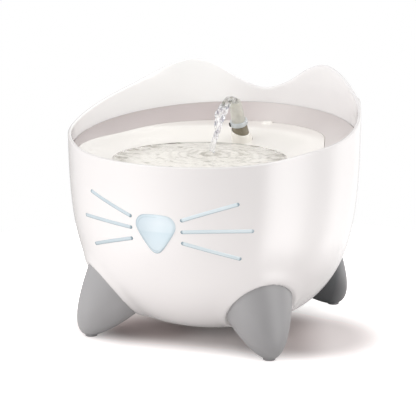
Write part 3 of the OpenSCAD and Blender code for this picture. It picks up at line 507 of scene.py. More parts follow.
def linear(red, green, blue):
    """Linear colour of a screen colour given as 0 to 255, by the sRGB curve."""
    c = np.array([red, green, blue]) / 255
    return (*np.where(c <= 0.04045, c / 12.92, ((c + 0.055) / 1.055) ** 2.4).tolist(), 1.0)


shell_white = plastic(
    "shell_white_gloss", linear(247, 244, 243), linear(243, 239, 238), 0.12, 0.17,
    cloud_scale=9.0, grain=0.012, coat=0.5,
)


def across_bowl(left, right, x_from, x_to):
    """A colour that eases from left to right between two places across the bowl, as a function of a tree."""

    def build(tree):
        x = add(tree, "ShaderNodeSeparateXYZ", object_place(tree)).outputs["X"]
        return blend(tree, ranged(tree, x, x_from, x_to, ease="SMOOTHSTEP"), left, right)

    return build


def painted_shade_by_axis(material, *ramps):
    """Colour of the plastic times greys that each follow one axis, given as the axis and pairs of place and
    share, eased between: painted light and shade along the axes."""
    tree = material.node_tree
    place = add(tree, "ShaderNodeSeparateXYZ", object_place(tree)).outputs
    colour = tree.nodes["moulded"].outputs["Colour"]
    for axis, tones in ramps:
        first, last = tones[0][0], tones[-1][0]
        greys = [((at - first) / (last - first), (tone, tone, tone, 1)) for at, tone in tones]
        grey = ramp(tree, ranged(tree, place[axis], first, last), greys)
        colour = blend(tree, 1, colour, grey, "MULTIPLY")
    return colour


def level_place(tree):
    """The place on the object without its height."""
    return vector_node(tree, "MULTIPLY", object_place(tree), (1, 1, 0))


def painted_inside_light(material, outer, inner):
    """Gives the plastic the inner colour on faces that look towards the bowl's axis and the outer one
    elsewhere. The inner colour is painted light, standing in for light through the thin wall and for how the
    inside is lit."""
    tree = material.node_tree
    normal = add(tree, "ShaderNodeNewGeometry").outputs["Normal"]
    inwards = ranged(tree, vector_node(tree, "DOT_PRODUCT", level_place(tree), normal), 0.04, -0.04)
    shaded(material, base_color=blend(tree, inwards, outer, inner(tree)))


# Painted light and shade on the shell: darkest at the bottom, lightest about 70 mm up, darker again towards the
# rim, and darker towards the right.
painted_wall_shade = painted_shade_by_axis(
    shell_white,
    ("Z", (
        (0.0, 0.80), (0.03, 0.82), (0.046, 0.89), (0.07, 0.985), (0.108, 0.945), (0.14, 0.885), (0.16, 0.88),
    )),
    ("X", ((0.0, 1.0), (0.03, 1.0), (0.075, 0.92), (0.12, 0.89))),
)
# Painted light inside the bowl: brightest on the left, darker on the right.
painted_inside_light(shell_white, painted_wall_shade, across_bowl(linear(255, 255, 254), linear(236, 234, 234), -0.05, 0.005))
finish_piece(bowl, shell_white, "bowl", "bowl_white", "reservoir_shell")

# ---------------------------------------------------------------------------------------
# Feet: four grey moulded points, round as the end of an egg and leaning in under the bowl,
# each pressed into its cuff with a peg. A grey rubber pad is let in under every foot.
# ---------------------------------------------------------------------------------------
foot_satin = {"smooth": 0.36, "rough": 0.46, "cloud_scale": 22.0, "grain_scale": 2600.0, "grain": 0.10}
foot_grey = plastic("foot_grey_satin", linear(172, 171, 172), linear(163, 162, 163), **foot_satin)
# Painted light and shade across the feet: much lighter on the left of the left front foot, darker on the right
# of the right front foot.
painted_foot_shade = painted_shade_by_axis(foot_grey, ("X", (
    (-0.105, 1.9), (-0.092, 1.35), (-0.08, 1.0), (-0.062, 0.92), (0.05, 0.98), (0.062, 0.94), (0.078, 0.74),
    (0.098, 0.76),
)))
shaded(foot_grey, base_color=painted_foot_shade)
# Painted shade: the rear feet are a darker copy of the feet's grey, and darken further towards the bowl's axis.
shaded_rear_foot_grey = plastic("rear_foot_shaded_satin", linear(150, 149, 150), linear(140, 139, 140), **foot_satin)


def painted_shade_inwards(material, dark, near, far):
    """Painted shadow: darkens the plastic from far to near the bowl's axis, as far as the colour dark."""
    tree = material.node_tree
    share = ranged(tree, vector_node(tree, "LENGTH", level_place(tree)), near, far)
    shaded(material, base_color=blend(tree, share, dark, tree.nodes["moulded"].outputs["Colour"]))


painted_shade_inwards(shaded_rear_foot_grey, linear(62, 64, 66), 0.108, 0.136)
foot_sides, foot_in_wall = 120, 1.3


def foot_surface(angle, reach):
    """Grid of a foot: the paraboloid r^2 = 17.6 t about its leaning axis, from its tip to just inside the
    bowl's skin, found for every direction by halving, and closed inside the wall."""
    tip, _, sideways, axis = foot_frame(angle, reach)
    other = np.cross(axis, sideways)
    phi = np.linspace(0, 2 * np.pi, foot_sides, endpoint=False)
    across = np.cos(phi)[:, None] * sideways + np.sin(phi)[:, None] * other

    def point(t):
        return tip + t[:, None] * axis + np.sqrt(foot_round * t)[:, None] * across

    low, high = np.full(foot_sides, 5.0), np.full(foot_sides, 75.0)
    for _ in range(40):
        middle = (low + high) / 2
        p = point(middle)
        inside = np.hypot(p[:, 0], p[:, 1]) < bowl_radius(p[:, 2], -foot_in_wall)
        low, high = np.where(inside, low, middle), np.where(inside, middle, high)
    rows = np.linspace(0, 1, 56)[:, None] ** 2 * low
    grid = tip + rows[..., None] * axis + np.sqrt(foot_round * rows)[..., None] * across
    centre = grid[-1].mean(axis=0)
    middle = np.broadcast_to(centre, (1, foot_sides, 3))
    return np.concatenate([grid, centre + (grid[-1:] - centre) * 0.6, middle])


for foot_name, (foot_angle, foot_reach) in feet_places.items():
    foot = skin(foot_name.replace("foot", "paw"), foot_surface(foot_angle, foot_reach), sharp=50)
    finish_piece(foot, shaded_rear_foot_grey if "rear" in foot_name else foot_grey, "bowl", "foot_grey", foot_name)


def dress(material, *names):
    """Puts a material on nodes of the frame that stay as they are."""
    for name in names:
        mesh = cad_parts[name].data
        mesh.materials.clear()
        mesh.materials.append(material)


rubber_grain = {"cloud_scale": 60.0, "grain_scale": 3000.0, "grain": 0.25}
pad_rubber = plastic(
    "pad_rubber", (0.022, 0.022, 0.023, 1), (0.034, 0.033, 0.033, 1), 0.62, 0.8, **rubber_grain
)
pad_grey = plastic("pad_grey_rubber", linear(158, 157, 158), linear(150, 149, 150), 0.6, 0.75, **rubber_grain)
dress(pad_grey, "foot_pads")

# ---------------------------------------------------------------------------------------
# Nose: a clear pale blue lens, a rounded triangle with a bevelled edge and a low dome,
# bonded into a pocket of the front wall.
# ---------------------------------------------------------------------------------------
nose_half, nose_z, nose_corner = 8.6, 111.4, 8.2
nose_drop, nose_point = 17.6, 5.3


def on_front(x, z, proud):
    """Points of the front wall at a place in the front view, raised along the wall's own normal."""
    r = bowl_radius(z)
    slope = (bowl_radius(z + 0.05) - bowl_radius(z - 0.05)) / 0.1
    y = -np.sqrt(np.maximum(r**2 - x**2, 0))
    normal = np.stack([x / r, y / r, -slope + 0 * x], axis=-1)
    normal /= np.linalg.norm(normal, axis=-1, keepdims=True)
    return np.stack([x, y, z], axis=-1) + np.asarray(proud)[..., None] * normal


def nose_outline(n):
    """Outline of the nose: the curve whose reach in each direction is the smooth maximum of three circles'
    reaches, so its corners are round and its sides slightly bowed."""
    centres = np.array([[nose_half, nose_z], [-nose_half, nose_z], [0, nose_z - nose_drop]])
    radii = np.array([nose_corner, nose_corner, nose_point])
    middle = centres.mean(axis=0)
    a = np.linspace(0, 2 * np.pi, n, endpoint=False)
    u = np.stack([np.cos(a), np.sin(a)], axis=1)
    v = np.stack([-np.sin(a), np.cos(a)], axis=1)
    reach = u @ (centres - middle).T + radii
    sharpness = 1.1
    weight = np.exp(sharpness * (reach - reach.max(axis=1, keepdims=True)))
    best = reach.max(axis=1) + np.log(weight.sum(axis=1)) / sharpness
    weight /= weight.sum(axis=1, keepdims=True)
    swing = (weight * (v @ (centres - middle).T)).sum(axis=1)
    return middle, best[:, None] * u + swing[:, None] * v


nose_middle, nose_edge = nose_outline(160)
shares = np.array([
    0, 0.2, 0.4, 0.58, 0.72, 0.82, 0.865, 0.885, 0.90, 0.93, 0.965, 0.985, 0.997, 1.0, 1.0, 0.6, 0.0,
])
raised = np.array([
    1.4, 1.39, 1.36, 1.31, 1.25, 1.19, 1.15, 1.11, 1.03, 0.82, 0.55, 0.38, 0.22, 0.0, -0.9, -0.9, -0.9,
])
flat_points = nose_middle + shares[:, None, None] * nose_edge
nose = skin(
    "nose_dome",
    on_front(flat_points[..., 0], flat_points[..., 1], raised[:, None] + 0 * flat_points[..., 0]),
    sharp=60,
)


def towards(material, colour, marked):
    """Takes the material's colour to another where a piece carries the mark of that name."""
    tree = material.node_tree
    share = add(tree, "ShaderNodeAttribute", attribute_name=marked).outputs["Fac"]
    first = tree.nodes["Principled BSDF"].inputs["Base Color"].links[0].from_socket
    shaded(material, base_color=blend(tree, share, first, colour))


def face_blue(name, colour, cloud, edge):
    """Clear pale blue plastic over a white backing, taken to the edge colour by the rim mark, which paints
    shade on its edges.
    """
    material = plastic(name, colour, cloud, 0.05, 0.1, cloud_scale=30.0, grain=0.0, coat=0.8, ior=1.49)
    towards(material, edge, "rim")
    return material


def mark(piece, name, values):
    """Stores one number per vertex on a piece."""
    layer = piece.data.attributes.new(name, "FLOAT", "POINT")
    layer.data.foreach_set("value", np.ascontiguousarray(values, dtype=np.float32).ravel())


def positions(piece):
    """The piece's vertices as an array, in millimetres."""
    found = np.empty(len(piece.data.vertices) * 3, dtype=np.float32)
    piece.data.vertices.foreach_get("co", found)
    return found.reshape(-1, 3) * 1000


def nose_colour(tree):
    """Painted reflections as bands of blue from the nose's point up to its top, and painted shade towards the
    left.
    """
    z = add(tree, "ShaderNodeSeparateXYZ", object_place(tree)).outputs["Z"]
    tones = (
        (0.0, (238, 246, 250)), (0.25, (232, 241, 246)), (0.56, (220, 232, 238)), (0.60, (243, 248, 251)),
        (0.80, (247, 250, 253)), (1.0, (228, 235, 240)),
    )
    painted_reflection_bands = ramp(tree, ranged(tree, z, 0.088, 0.120), [(at, linear(*tone)) for at, tone in tones], "LINEAR")
    # Painted shade, darker towards the left.
    side = across_bowl((0.45, 0.48, 0.505, 1), (0.95, 0.95, 0.945, 1), -0.016, 0.006)
    return blend(tree, 1, painted_reflection_bands, side(tree), "MULTIPLY")


nose_blue = face_blue("nose_blue_clear", nose_colour, linear(206, 226, 236), linear(116, 142, 154))
spot = positions(nose)
share_out = np.linalg.norm((spot[:, [0, 2]] - nose_middle), axis=1)
around_nose = np.arctan2(spot[:, 2] - nose_middle[1], spot[:, 0])
edge_turn = np.arctan2(nose_edge[:, 1], nose_edge[:, 0])
order = np.argsort(edge_turn)
edge_length = np.linalg.norm(nose_edge, axis=1)
edge_reach = np.interp(around_nose, edge_turn[order], edge_length[order], period=2 * np.pi)
# The rim mark is painted shade: darker on the lower left of the rim, with a painted dark line along the bevel
# on the left.
painted_shade_lower_left = np.clip(0.55 - 0.45 * np.sin(around_nose + 0.6), 0.15, 1)
painted_bevel_line = 0.45 * np.exp(-(((share_out / edge_reach - 0.875) / 0.012) ** 2))
near_rim = np.clip((share_out / edge_reach - 0.93) / 0.07, 0, 1)
mark(nose, "rim", near_rim * painted_shade_lower_left + painted_bevel_line * (spot[:, 0] < 2))
finish_piece(nose, nose_blue, "bowl", "face_blue", "nose_lens")

# ---------------------------------------------------------------------------------------
# Whiskers: six bowed strips of the same clear blue plastic, 3 mm wide with round ends,
# pressed into grooves of the front wall and standing half a millimetre proud.
# ---------------------------------------------------------------------------------------
whisker_w, whisker_start = 3.0, 22.0
# Height at the inner end and at the outer end, length, and how far the middle bows up.
whisker_rows = {
    "upper": (117.0, 130.0, 43.0, 0.6),
    "middle": (107.6, 108.2, 54.0, 0.9),
    "lower": (98.4, 86.0, 43.0, 0.4),
}


def whisker_surface(side, z0, z1, length, bow):
    """Grid of a whisker: a cushion-shaped cross section carried along a slightly bowed line on the wall,
    its width closing to a half circle at both ends."""
    half = whisker_w / 2
    turn = np.linspace(0, np.pi / 2, 9)
    middle = np.linspace(0, length, 60)[1:-1]
    along = np.concatenate([-half * np.cos(turn), middle, length + half * np.sin(turn)])
    beyond = np.maximum(np.maximum(-along, along - length), 0)
    width = np.sqrt(np.maximum(half**2 - beyond**2, 0))
    t = along / length
    z = z0 + (z1 - z0) * t + bow * 4 * t * (1 - t)
    r = bowl_radius(z)
    x = r * np.sin((whisker_start + along) / r)
    dx, dz = np.gradient(x), np.gradient(z)
    size = np.hypot(dx, dz)
    v = np.array([-1, -1, -0.97, -0.88, -0.7, -0.35, 0, 0.35, 0.7, 0.88, 0.97, 1, 1, 0.5, 0, -0.5])
    h = np.array([
        -0.6, -0.05, 0.12, 0.28, 0.42, 0.49, 0.5, 0.49, 0.42, 0.28, 0.12, -0.05, -0.6, -0.6, -0.6, -0.6,
    ])
    px = x[:, None] - dz[:, None] / size[:, None] * v * width[:, None]
    pz = z[:, None] + dx[:, None] / size[:, None] * v * width[:, None]
    fade = np.clip(width / half, 0.0, 1)[:, None]
    grid = on_front(px, pz, np.where(h > 0, h * fade, h) + 0 * px)
    grid[..., 0] *= side
    return grid, v[None, :] + 0 * px, along[:, None] / length + 0 * px


# Painted shade: the whiskers darker on the left, paler on the right.
whisker_blue = face_blue(
    "whisker_blue_clear", across_bowl(linear(176, 190, 198), linear(232, 241, 245), -0.03, 0.03),
    linear(204, 218, 224), linear(118, 142, 152),
)
for side_name, side_sign in (("left", -1), ("right", 1)):
    for row_name, whisker_place in whisker_rows.items():
        grid, across_mark, along_mark = whisker_surface(side_sign, *whisker_place)
        strip = skin(f"whisker_strip_{side_name}_{row_name}", grid, sharp=60)
        # The rim mark is painted shade on each whisker's lower edge and at its tips.
        painted_low_edge_shade = np.clip((-across_mark - 0.45) / 0.5, 0, 1) * 0.8
        painted_tip_shade = np.clip(np.abs(along_mark - 0.5) * 2 - 0.97, 0, 0.06) / 0.06
        marks = np.clip(painted_low_edge_shade + painted_tip_shade, 0, 1)
        marks = np.concatenate([marks[0, :1], marks[1:-1].ravel(), marks[-1, :1]])
        mark(strip, "rim", marks)
        finish_piece(strip, whisker_blue, "bowl", "face_blue", f"whisker_{side_name}_{row_name}")

# ---------------------------------------------------------------------------------------
# Splash ring: a satin taupe moulding that rests on the bowl's ledge and slopes down to the
# dish. It rises a little towards the back, and its lip runs under the dish's edge.
# ---------------------------------------------------------------------------------------
pool_front, pool_r, water_z = 31.6, 71.0, 147.7
dish_z, dish_wall = 157.0, 2.3
front_r, back_y, back_r = 101, 20, 86
seat_r = inside_ledge - 0.3
ring_z, ring_rise, ring_wall, lip_w = 159.2, 0.113, 2.0, 3.2


def dish_outline(angle):
    """Distance of the dish's edge from the bowl's axis: the hull of a wide circle in front and a narrow one
    behind, kept inside the ring, with its corners eased."""
    turn = np.arange(0, 360, 0.5)
    a = np.radians(turn)[:, None]
    k = np.linspace(0, 1, 61)[None, :]
    cy = -pool_front + 0.6 + k * (back_y + pool_front - 0.6)
    r = front_r + k * (back_r - front_r)
    reach = (-cy * np.cos(a) + np.sqrt((cy * np.cos(a)) ** 2 - cy**2 + r**2)).max(axis=1)
    reach = np.minimum(reach, ledge_r - 2.6)
    spread = np.exp(-(np.arange(-16, 17) / 6.0) ** 2)
    eased = np.convolve(np.concatenate([reach[-16:], reach, reach[:16]]), spread / spread.sum(), "valid")
    return np.interp(angle, turn, np.minimum(eased, reach + 0.3), period=360)


line_r = np.array([0, 41.2, 56.8, 66.0, 71, 78, 88, 98, 106, 113, 200])
line_z = np.array([136.2, 136.6, 139.1, 143.3, 147.7, 149.4, 152.0, 155.1, 156.7, 157, 157])
fine_r = np.arange(-12, 212, 0.25)
fine_z = np.interp(np.abs(fine_r), line_r, line_z)
kernel = np.exp(-(np.arange(-36, 37) / 12.0) ** 2)
fine_z = np.convolve(np.pad(fine_z, 36, mode="edge"), kernel / kernel.sum(), "valid")


def dish_height(x, y):
    """Height of the dish's upper side: its eased profile by the distance from the pool's centre."""
    return np.interp(np.hypot(x, y + pool_front), fine_r, fine_z)


def rounded(corners, cut):
    """A closed section with each corner replaced by five points, so that it shades as a small round edge
    between flat sides."""
    before = np.roll(corners, 1, axis=-2) - corners
    after = np.roll(corners, -1, axis=-2) - corners
    back, on = np.linalg.norm(before, axis=-1, keepdims=True), np.linalg.norm(after, axis=-1, keepdims=True)
    b, f = before / back, after / on
    cb, cf = np.minimum(cut, back * 0.3), np.minimum(cut, on * 0.3)
    five = [
        corners + b * cb * 1.5, corners + b * cb, corners + (b * cb + f * cf) * 0.29, corners + f * cf,
        corners + f * cf * 1.5,
    ]
    stacked = np.stack(five, axis=-2)
    return stacked.reshape(*corners.shape[:-2], -1, 2)


ring_turn = np.arange(0, 360, 1.0)
edge_r = dish_outline(ring_turn)


def height_at(radius):
    """Height of the dish's upper side at a distance from the bowl's axis, for every column of the ring."""
    p = around(radius, ring_turn, 0.0)
    return dish_height(p[:, 0], p[:, 1])


beneath = dish_wall + 0.15
edge_z, lip_z = height_at(edge_r), height_at(edge_r - lip_w) - beneath
ring_top = np.maximum(dish_z - 2.5, ring_z - ring_rise * np.cos(np.radians(ring_turn)) * seat_r)
seat, ring_foot = np.full_like(edge_r, seat_r), np.full_like(edge_r, ledge_z + 0.3)
pairs = [
    (seat, ring_foot), (seat, ring_top), (edge_r + 0.2, edge_z), (edge_r + 0.2, edge_z - beneath),
    (edge_r - lip_w, lip_z), (edge_r - lip_w, lip_z - ring_wall), (edge_r + 0.4, edge_z - beneath - ring_wall),
    (seat - ring_wall, np.maximum(ring_foot + 1, ring_top - 5)), (seat - ring_wall, ring_foot),
]
section = rounded(np.stack([np.stack(p, axis=-1) for p in pairs], axis=1), 0.45)
ring_grid = around(section[..., 0].T, ring_turn[None, :], section[..., 1].T)
splash_ring = skin("splash_ring_cover", ring_grid, ring=True)
# Painted shade: the ring darker on the left and lighter on the right.
ring_taupe = plastic(
    "ring_taupe_satin", across_bowl(linear(187, 177, 175), linear(221, 216, 213), -0.045, 0.03),
    linear(200, 191, 190), 0.30, 0.40, cloud_scale=10.0, grain_scale=2200.0, grain=0.06,
)
finish_piece(splash_ring, ring_taupe, "dish", "ring_taupe", "splash_ring")

# ---------------------------------------------------------------------------------------
# Drinking dish: cream glossy plastic, 2.3 mm thick, a round pool off centre to the front
# with a sloping beach round it. Seven holes drain its front, and a small tab lifts it out.
# ---------------------------------------------------------------------------------------
spout_turn = math.radians(4.5)
spout_x, spout_y = 80.5 * math.sin(spout_turn), -pool_front + 80.5 * math.cos(spout_turn)
tower_r, drain_r = 8.9, 2.5
dish_turn = np.arange(0, 360, 1.0)
rim_points = around(dish_outline(np.arange(0, 360, 0.25)), np.arange(0, 360, 0.25), 0.0)
rim_turn = np.degrees(np.arctan2(rim_points[:, 0], -(rim_points[:, 1] + pool_front))) % 360
rim_reach = np.hypot(rim_points[:, 0], rim_points[:, 1] + pool_front)
order = np.argsort(rim_turn)
reach = np.interp(dish_turn, rim_turn[order], rim_reach[order], period=360)


def from_pool(radius, z):
    """Points at a distance from the pool's centre for every column of the dish."""
    p = around(radius, dish_turn[None, :], z)
    p[..., 1] -= pool_front
    return p


pool_rows = np.linspace(0, 1, 34)[:, None] ** 0.9 * pool_r + 0 * reach
beach_rows = pool_r + np.linspace(0, 1, 26)[1:, None] * (reach - 0.5 - pool_r)
rows = np.concatenate([pool_rows, beach_rows])
tops = np.interp(rows, fine_r, fine_z)
rim_out = np.array([[0.5 - 0.18], [0.06], [0.0], [0.0], [0.1], [0.5]])
rim_down = np.array([[0.04], [0.25], [0.55], [dish_wall - 0.5], [dish_wall - 0.15], [dish_wall]])
edge_rows = reach - rim_out
edge_tops = np.interp(reach, fine_r, fine_z) - rim_down
back_rows = rows[::-2]
backs = np.interp(back_rows, fine_r, fine_z) - dish_wall
grid = np.concatenate([from_pool(rows, tops), from_pool(edge_rows, edge_tops), from_pool(back_rows, backs)])
dish = skin("dish_basin", grid)
holes = [straight_cutter("spout_hole", (spout_x, spout_y, 140), (0, 0, 1), tower_r + 0.1, 30, 64)]
drain_reach = pool_r + drain_r + 1
for drain_turn in range(-36, 37, 12):
    a = math.radians(drain_turn)
    below = (drain_reach * math.sin(a), -pool_front - drain_reach * math.cos(a), 130)
    holes.append(straight_cutter("drain", below, (0, 0, 1), drain_r, 40, 32))
bored(dish, holes, sharp=45)
dish_cream = plastic(
    "dish_cream_gloss", linear(247, 244, 239), linear(245, 242, 236), 0.16, 0.22,
    cloud_scale=12.0, grain=0.012, coat=0.25,
)
finish_piece(dish, dish_cream, "dish", "dish_cream", "drinking_dish")

tab_y = back_y + back_r - 5 - 1.2
tab_x = (tab_y + pool_front) * math.tan(spout_turn)
tab_profile = np.array([
    [0, 158.8], [2.2, 158.78], [3.6, 158.6], [4.4, 158.2], [4.8, 157.7], [5.0, 157.2], [5.3, 156.98],
    [5.3, 156.6], [0, 156.6],
])
tab_turn = np.linspace(0, 2 * np.pi, 72, endpoint=False)
tab_r, tab_z = tab_profile[:, :1], tab_profile[:, 1:] + 0 * tab_turn
tab_grid = np.stack([tab_x + tab_r * np.cos(tab_turn), tab_y + tab_r * np.sin(tab_turn), tab_z], axis=-1)
tab = skin("dish_lift_tab", tab_grid)
finish_piece(tab, dish_cream, "dish", "dish_cream")

# ---------------------------------------------------------------------------------------
# Water in the pool: rings run out from where the stream lands, small cross waves lie over
# them, and the surface creeps up at the dish's wall.
# ---------------------------------------------------------------------------------------
land_s, ring_gap = 18.3, 8.5
land = np.array([land_s * math.sin(spout_turn), -pool_front + land_s * math.cos(spout_turn)])


def water_height(x, y):
    """Height of the water: rings about the landing point that die away outwards, four families of short
    waves from the walls, a rise at the wall and a small mound where the stream goes in."""
    d = np.hypot(x - land[0], y - land[1])
    r = np.hypot(x, y + pool_front)
    calm = np.clip((pool_r - r) / 5, 0, 1)
    rings = 0.9 * np.exp(-d / 22) * np.cos(d * 2 * np.pi / ring_gap - 0.6)
    waves = 0.42 * np.sin(x * 0.31 + y * 0.12) * np.sin(y * 0.27 - x * 0.08 + 1.1)
    waves = waves + 0.20 * np.sin(x * 0.55 - y * 0.43 + 0.7) + 0.13 * np.sin(x * 0.83 + y * 0.71 + 2.1)
    waves = waves + 0.09 * np.sin(x * 1.3 - y * 1.15 + 0.4)
    mound = 1.5 * np.exp(-((d / 4.2) ** 2))
    creep = 0.5 * np.exp(-np.maximum(pool_r - r, 0) / 1.1)
    return water_z + (rings + waves) * calm + mound + creep


water_rows = np.linspace(0, 1, 150)[:, None] * (pool_r + 0.7) + 0 * dish_turn
surface_points = from_pool(water_rows, 0.0)
surface_points[..., 2] = water_height(surface_points[..., 0], surface_points[..., 1])
bed_rows = (pool_r + 0.7) * np.linspace(1, 0, 24)[1:, None] + 0 * dish_turn
bed = from_pool(bed_rows, np.interp(bed_rows, fine_r, fine_z) - 0.5)
pool = skin("water_pool", np.concatenate([surface_points, bed]))


def clear_stuff(name, colour, ior, roughness, cloud, clearness=1.0, cloud_scale=60.0):
    """Clear or milky water or plastic with a faint cloudiness in its roughness and colour, open to lamp light
    so that what lies behind it stays lit."""
    material = surfaced(
        name, colour, cloud, cloud_scale, roughness, roughness * 1.6, transmission_weight=clearness, IOR=ior
    )
    tree = material.node_tree
    shadow = add(tree, "ShaderNodeLightPath").outputs["Is Shadow Ray"]
    through = add(tree, "ShaderNodeBsdfTransparent", (*(0.4 + 0.6 * c for c in colour[:3]), 1))
    lit = add(tree, "ShaderNodeMixShader", shadow, tree.nodes["Principled BSDF"], through)
    fill(tree, tree.nodes["Material Output"], [("Surface", lit)])
    return material


water = clear_stuff("water", (0.93, 0.935, 0.93, 1), 1.333, 0.015, (0.96, 0.96, 0.955, 1))
spot = positions(pool)
x, y = spot[:, 0], spot[:, 1]
d, r = np.hypot(x - land[0], y - land[1]), np.hypot(x, y + pool_front)
# Painted reflections: the streak mark darkens the water in drifting waves and rings round the landing point,
# along the far wall, at the left and right ends and where the stream lands.
drift = (
    np.sin(y * 0.36 + 1.7 * np.sin(x * 0.07 + 0.9) + 0.8)
    + 0.8 * np.sin(y * 0.71 - x * 0.10 + 1.9 * np.sin(x * 0.13 + 2.0))
    + 0.6 * np.sin(x * 0.21 + y * 0.98 + 1.2 * np.sin(x * 0.31)) + 0.4 * np.sin(x * 0.47 - y * 1.45 + 0.5)
)
wake = np.cos(d * 2 * np.pi / ring_gap + 0.9 * np.sin(x * 0.17 + y * 0.23)) * np.exp(-d / 30)
at_wall = np.exp(-np.maximum(pool_r - r, 0) / 0.9) * np.clip((y + pool_front) / 40 + 0.8, 0, 1)
at_ends = np.clip((np.abs(x) - 38) / 20, 0, 1) * np.clip((r - 54) / 10, 0, 1)
at_ends = at_ends * np.clip(0.45 + 0.55 * drift, 0, 1)
landing = np.exp(-(((d - 5.5) / 2.6) ** 2))
painted_glints = np.clip(drift * 0.8 - 0.8, 0, 0.6) + np.clip(1.3 * wake, 0, 0.7)
painted_glints = painted_glints + 0.3 * at_wall + 1.3 * at_ends + landing
mark(pool, "painted_glint", np.clip(painted_glints, 0, 1))
towards(water, (0.36, 0.345, 0.315, 1), "painted_glint")
finish_piece(pool, water, "dish", None)

# ---------------------------------------------------------------------------------------
# Spout: a cream base that leans to the pool and ends in a slanting mouth, an olive stem in it,
# a clear collar with a small black stop, and a clear tapered nozzle that turns in the stem.
# ---------------------------------------------------------------------------------------
bend = np.array([spout_x, spout_y, 149.5])
spout_across = np.array([math.cos(spout_turn), -math.sin(spout_turn), 0])
spout_back = np.array([math.sin(spout_turn), math.cos(spout_turn), 0])
spout_lean, nozzle_lean = math.radians(22), math.radians(1.0)


def spout_way(lean):
    """Direction at that lean from upright towards the pool, in the spout's plane."""
    return np.array([0, 0, 1]) * math.cos(lean) - spout_back * math.sin(lean)


def circles(name, rows, sharp):
    """Closed skin through circles: each row is (centre, lean, radius, slant), where slant tips the circle's
    plane down towards +X by that slope."""
    phi = np.linspace(0, 2 * np.pi, 72, endpoint=False)
    centre, lean, radius, slant = (np.array(part) for part in zip(*rows))
    way = np.cos(lean)[:, None] * np.array([0, 0, 1.0]) - np.sin(lean)[:, None] * spout_back
    back = np.cross(way, spout_across)
    c, s = np.cos(phi)[None, :, None], np.sin(phi)[None, :, None]
    grid = centre[:, None] + radius[:, None, None] * (c * spout_across + s * back[:, None])
    grid = grid - (slant * radius)[:, None, None] * c * way[:, None]
    return skin(name, grid, ring=True, sharp=sharp)


def upright(pairs):
    """Rows of level circles on the base's axis, from pairs of height and radius."""
    return [(np.array([spout_x, spout_y, z]), 0.0, r, 0.0) for z, r in pairs]


def leaning(start, lean, pairs):
    """Rows of circles on a leaning axis, from pairs of distance from the start and radius."""
    return [(start + spout_way(lean) * w, lean, r, 0.0) for w, r in pairs]


lean_way = spout_way(spout_lean)
stem_end, socket_mouth = 16.0, 130.0
base_rows = upright((socket_mouth + z, r) for z, r in (
    (0, 6.2), (0, 8.6), (0.3, 8.9), (3, 8.9), (3.1, 10.6), (3.4, 10.9), (4.6, 10.9), (4.9, 10.6), (5, 8.9),
    (8, 8.9), (17, 8.9),
))
for step in np.linspace(0, 1, 7)[1:]:
    centre = bend + np.array([0, 0, -1.6]) * (1 - step) + lean_way * 1.6 * step
    base_rows.append((centre, spout_lean * step, tower_r, 0.0))
# Distance along the leaning axis, radius, and the share of the mouth's slope.
for w, r, k in (
    (3.0, 8.7, 0.0), (5.2, 8.48, 0.35), (7.4, 8.2, 0.75), (9.0, 8.03, 0.95), (9.6, 7.97, 1.0), (10.0, 7.8, 1.0),
    (10.2, 7.5, 1.0), (10.15, 7.1, 1.0), (9.8, 6.95, 1.0), (7.4, 7.0, 0.6), (3.0, 7.3, 0.0),
):
    base_rows.append((bend + lean_way * w, spout_lean, r, math.tan(spout_lean) * k))
base_rows += leaning(bend, spout_lean, [(2.9, 4.0)])
base_rows += upright([(150.0, 4.0), (145.0, 4.0), (145.0, 6.2)])
spout_base = circles("spout_base", base_rows, 55)
spout_cream = plastic(
    "spout_cream_gloss", linear(249, 246, 239), linear(245, 241, 232), 0.10, 0.16,
    cloud_scale=25.0, grain=0.01, coat=0.5,
)
finish_piece(spout_base, spout_cream, "dish", "dish_cream", "spout_tower")

stem_rows = leaning(bend, spout_lean, (
    (3.0, 3.0), (3.0, 7.1), (3.3, 7.35), (8.0, 7.1), (14.0, 6.68), (15.4, 6.56), (15.8, 6.45), (stem_end, 6.1),
    (stem_end, 4.7), (9.2, 4.68), (9.2, 3.0),
))
spout_stem = circles("spout_stem_sleeve", stem_rows, 50)
# The stem's dark olive is partly its own colour and partly painted shade under the collar.
stem_olive = plastic(
    "stem_olive_gloss", linear(142, 134, 114), linear(112, 104, 86), 0.18, 0.3,
    cloud_scale=90.0, grain=0.03, coat=0.3,
)
finish_piece(spout_stem, stem_olive, "dish", "stem_olive", "spout_stem")

collar_base, collar_h, collar_r = stem_end + 0.3, 3.2, 7.7
collar_rows = leaning(bend, spout_lean, ((collar_base + w, r) for w, r in (
    (0.0, 6.1), (0.0, 7.0), (0.12, 7.35), (0.5, 7.6), (1.1, collar_r), (2.8, collar_r), (3.4, 7.6), (3.9, 7.35),
    (4.0, 7.0), (4.0, 6.1),
)))
collar = circles("nozzle_collar", collar_rows, 55)
collar_clear = clear_stuff(
    "collar_clear", (0.58, 0.64, 0.67, 1), 1.47, 0.10, (0.98, 0.99, 0.99, 1), clearness=0.4, cloud_scale=230.0
)
finish_piece(collar, collar_clear, "nozzle", "clear_plastic", "spout_collar")

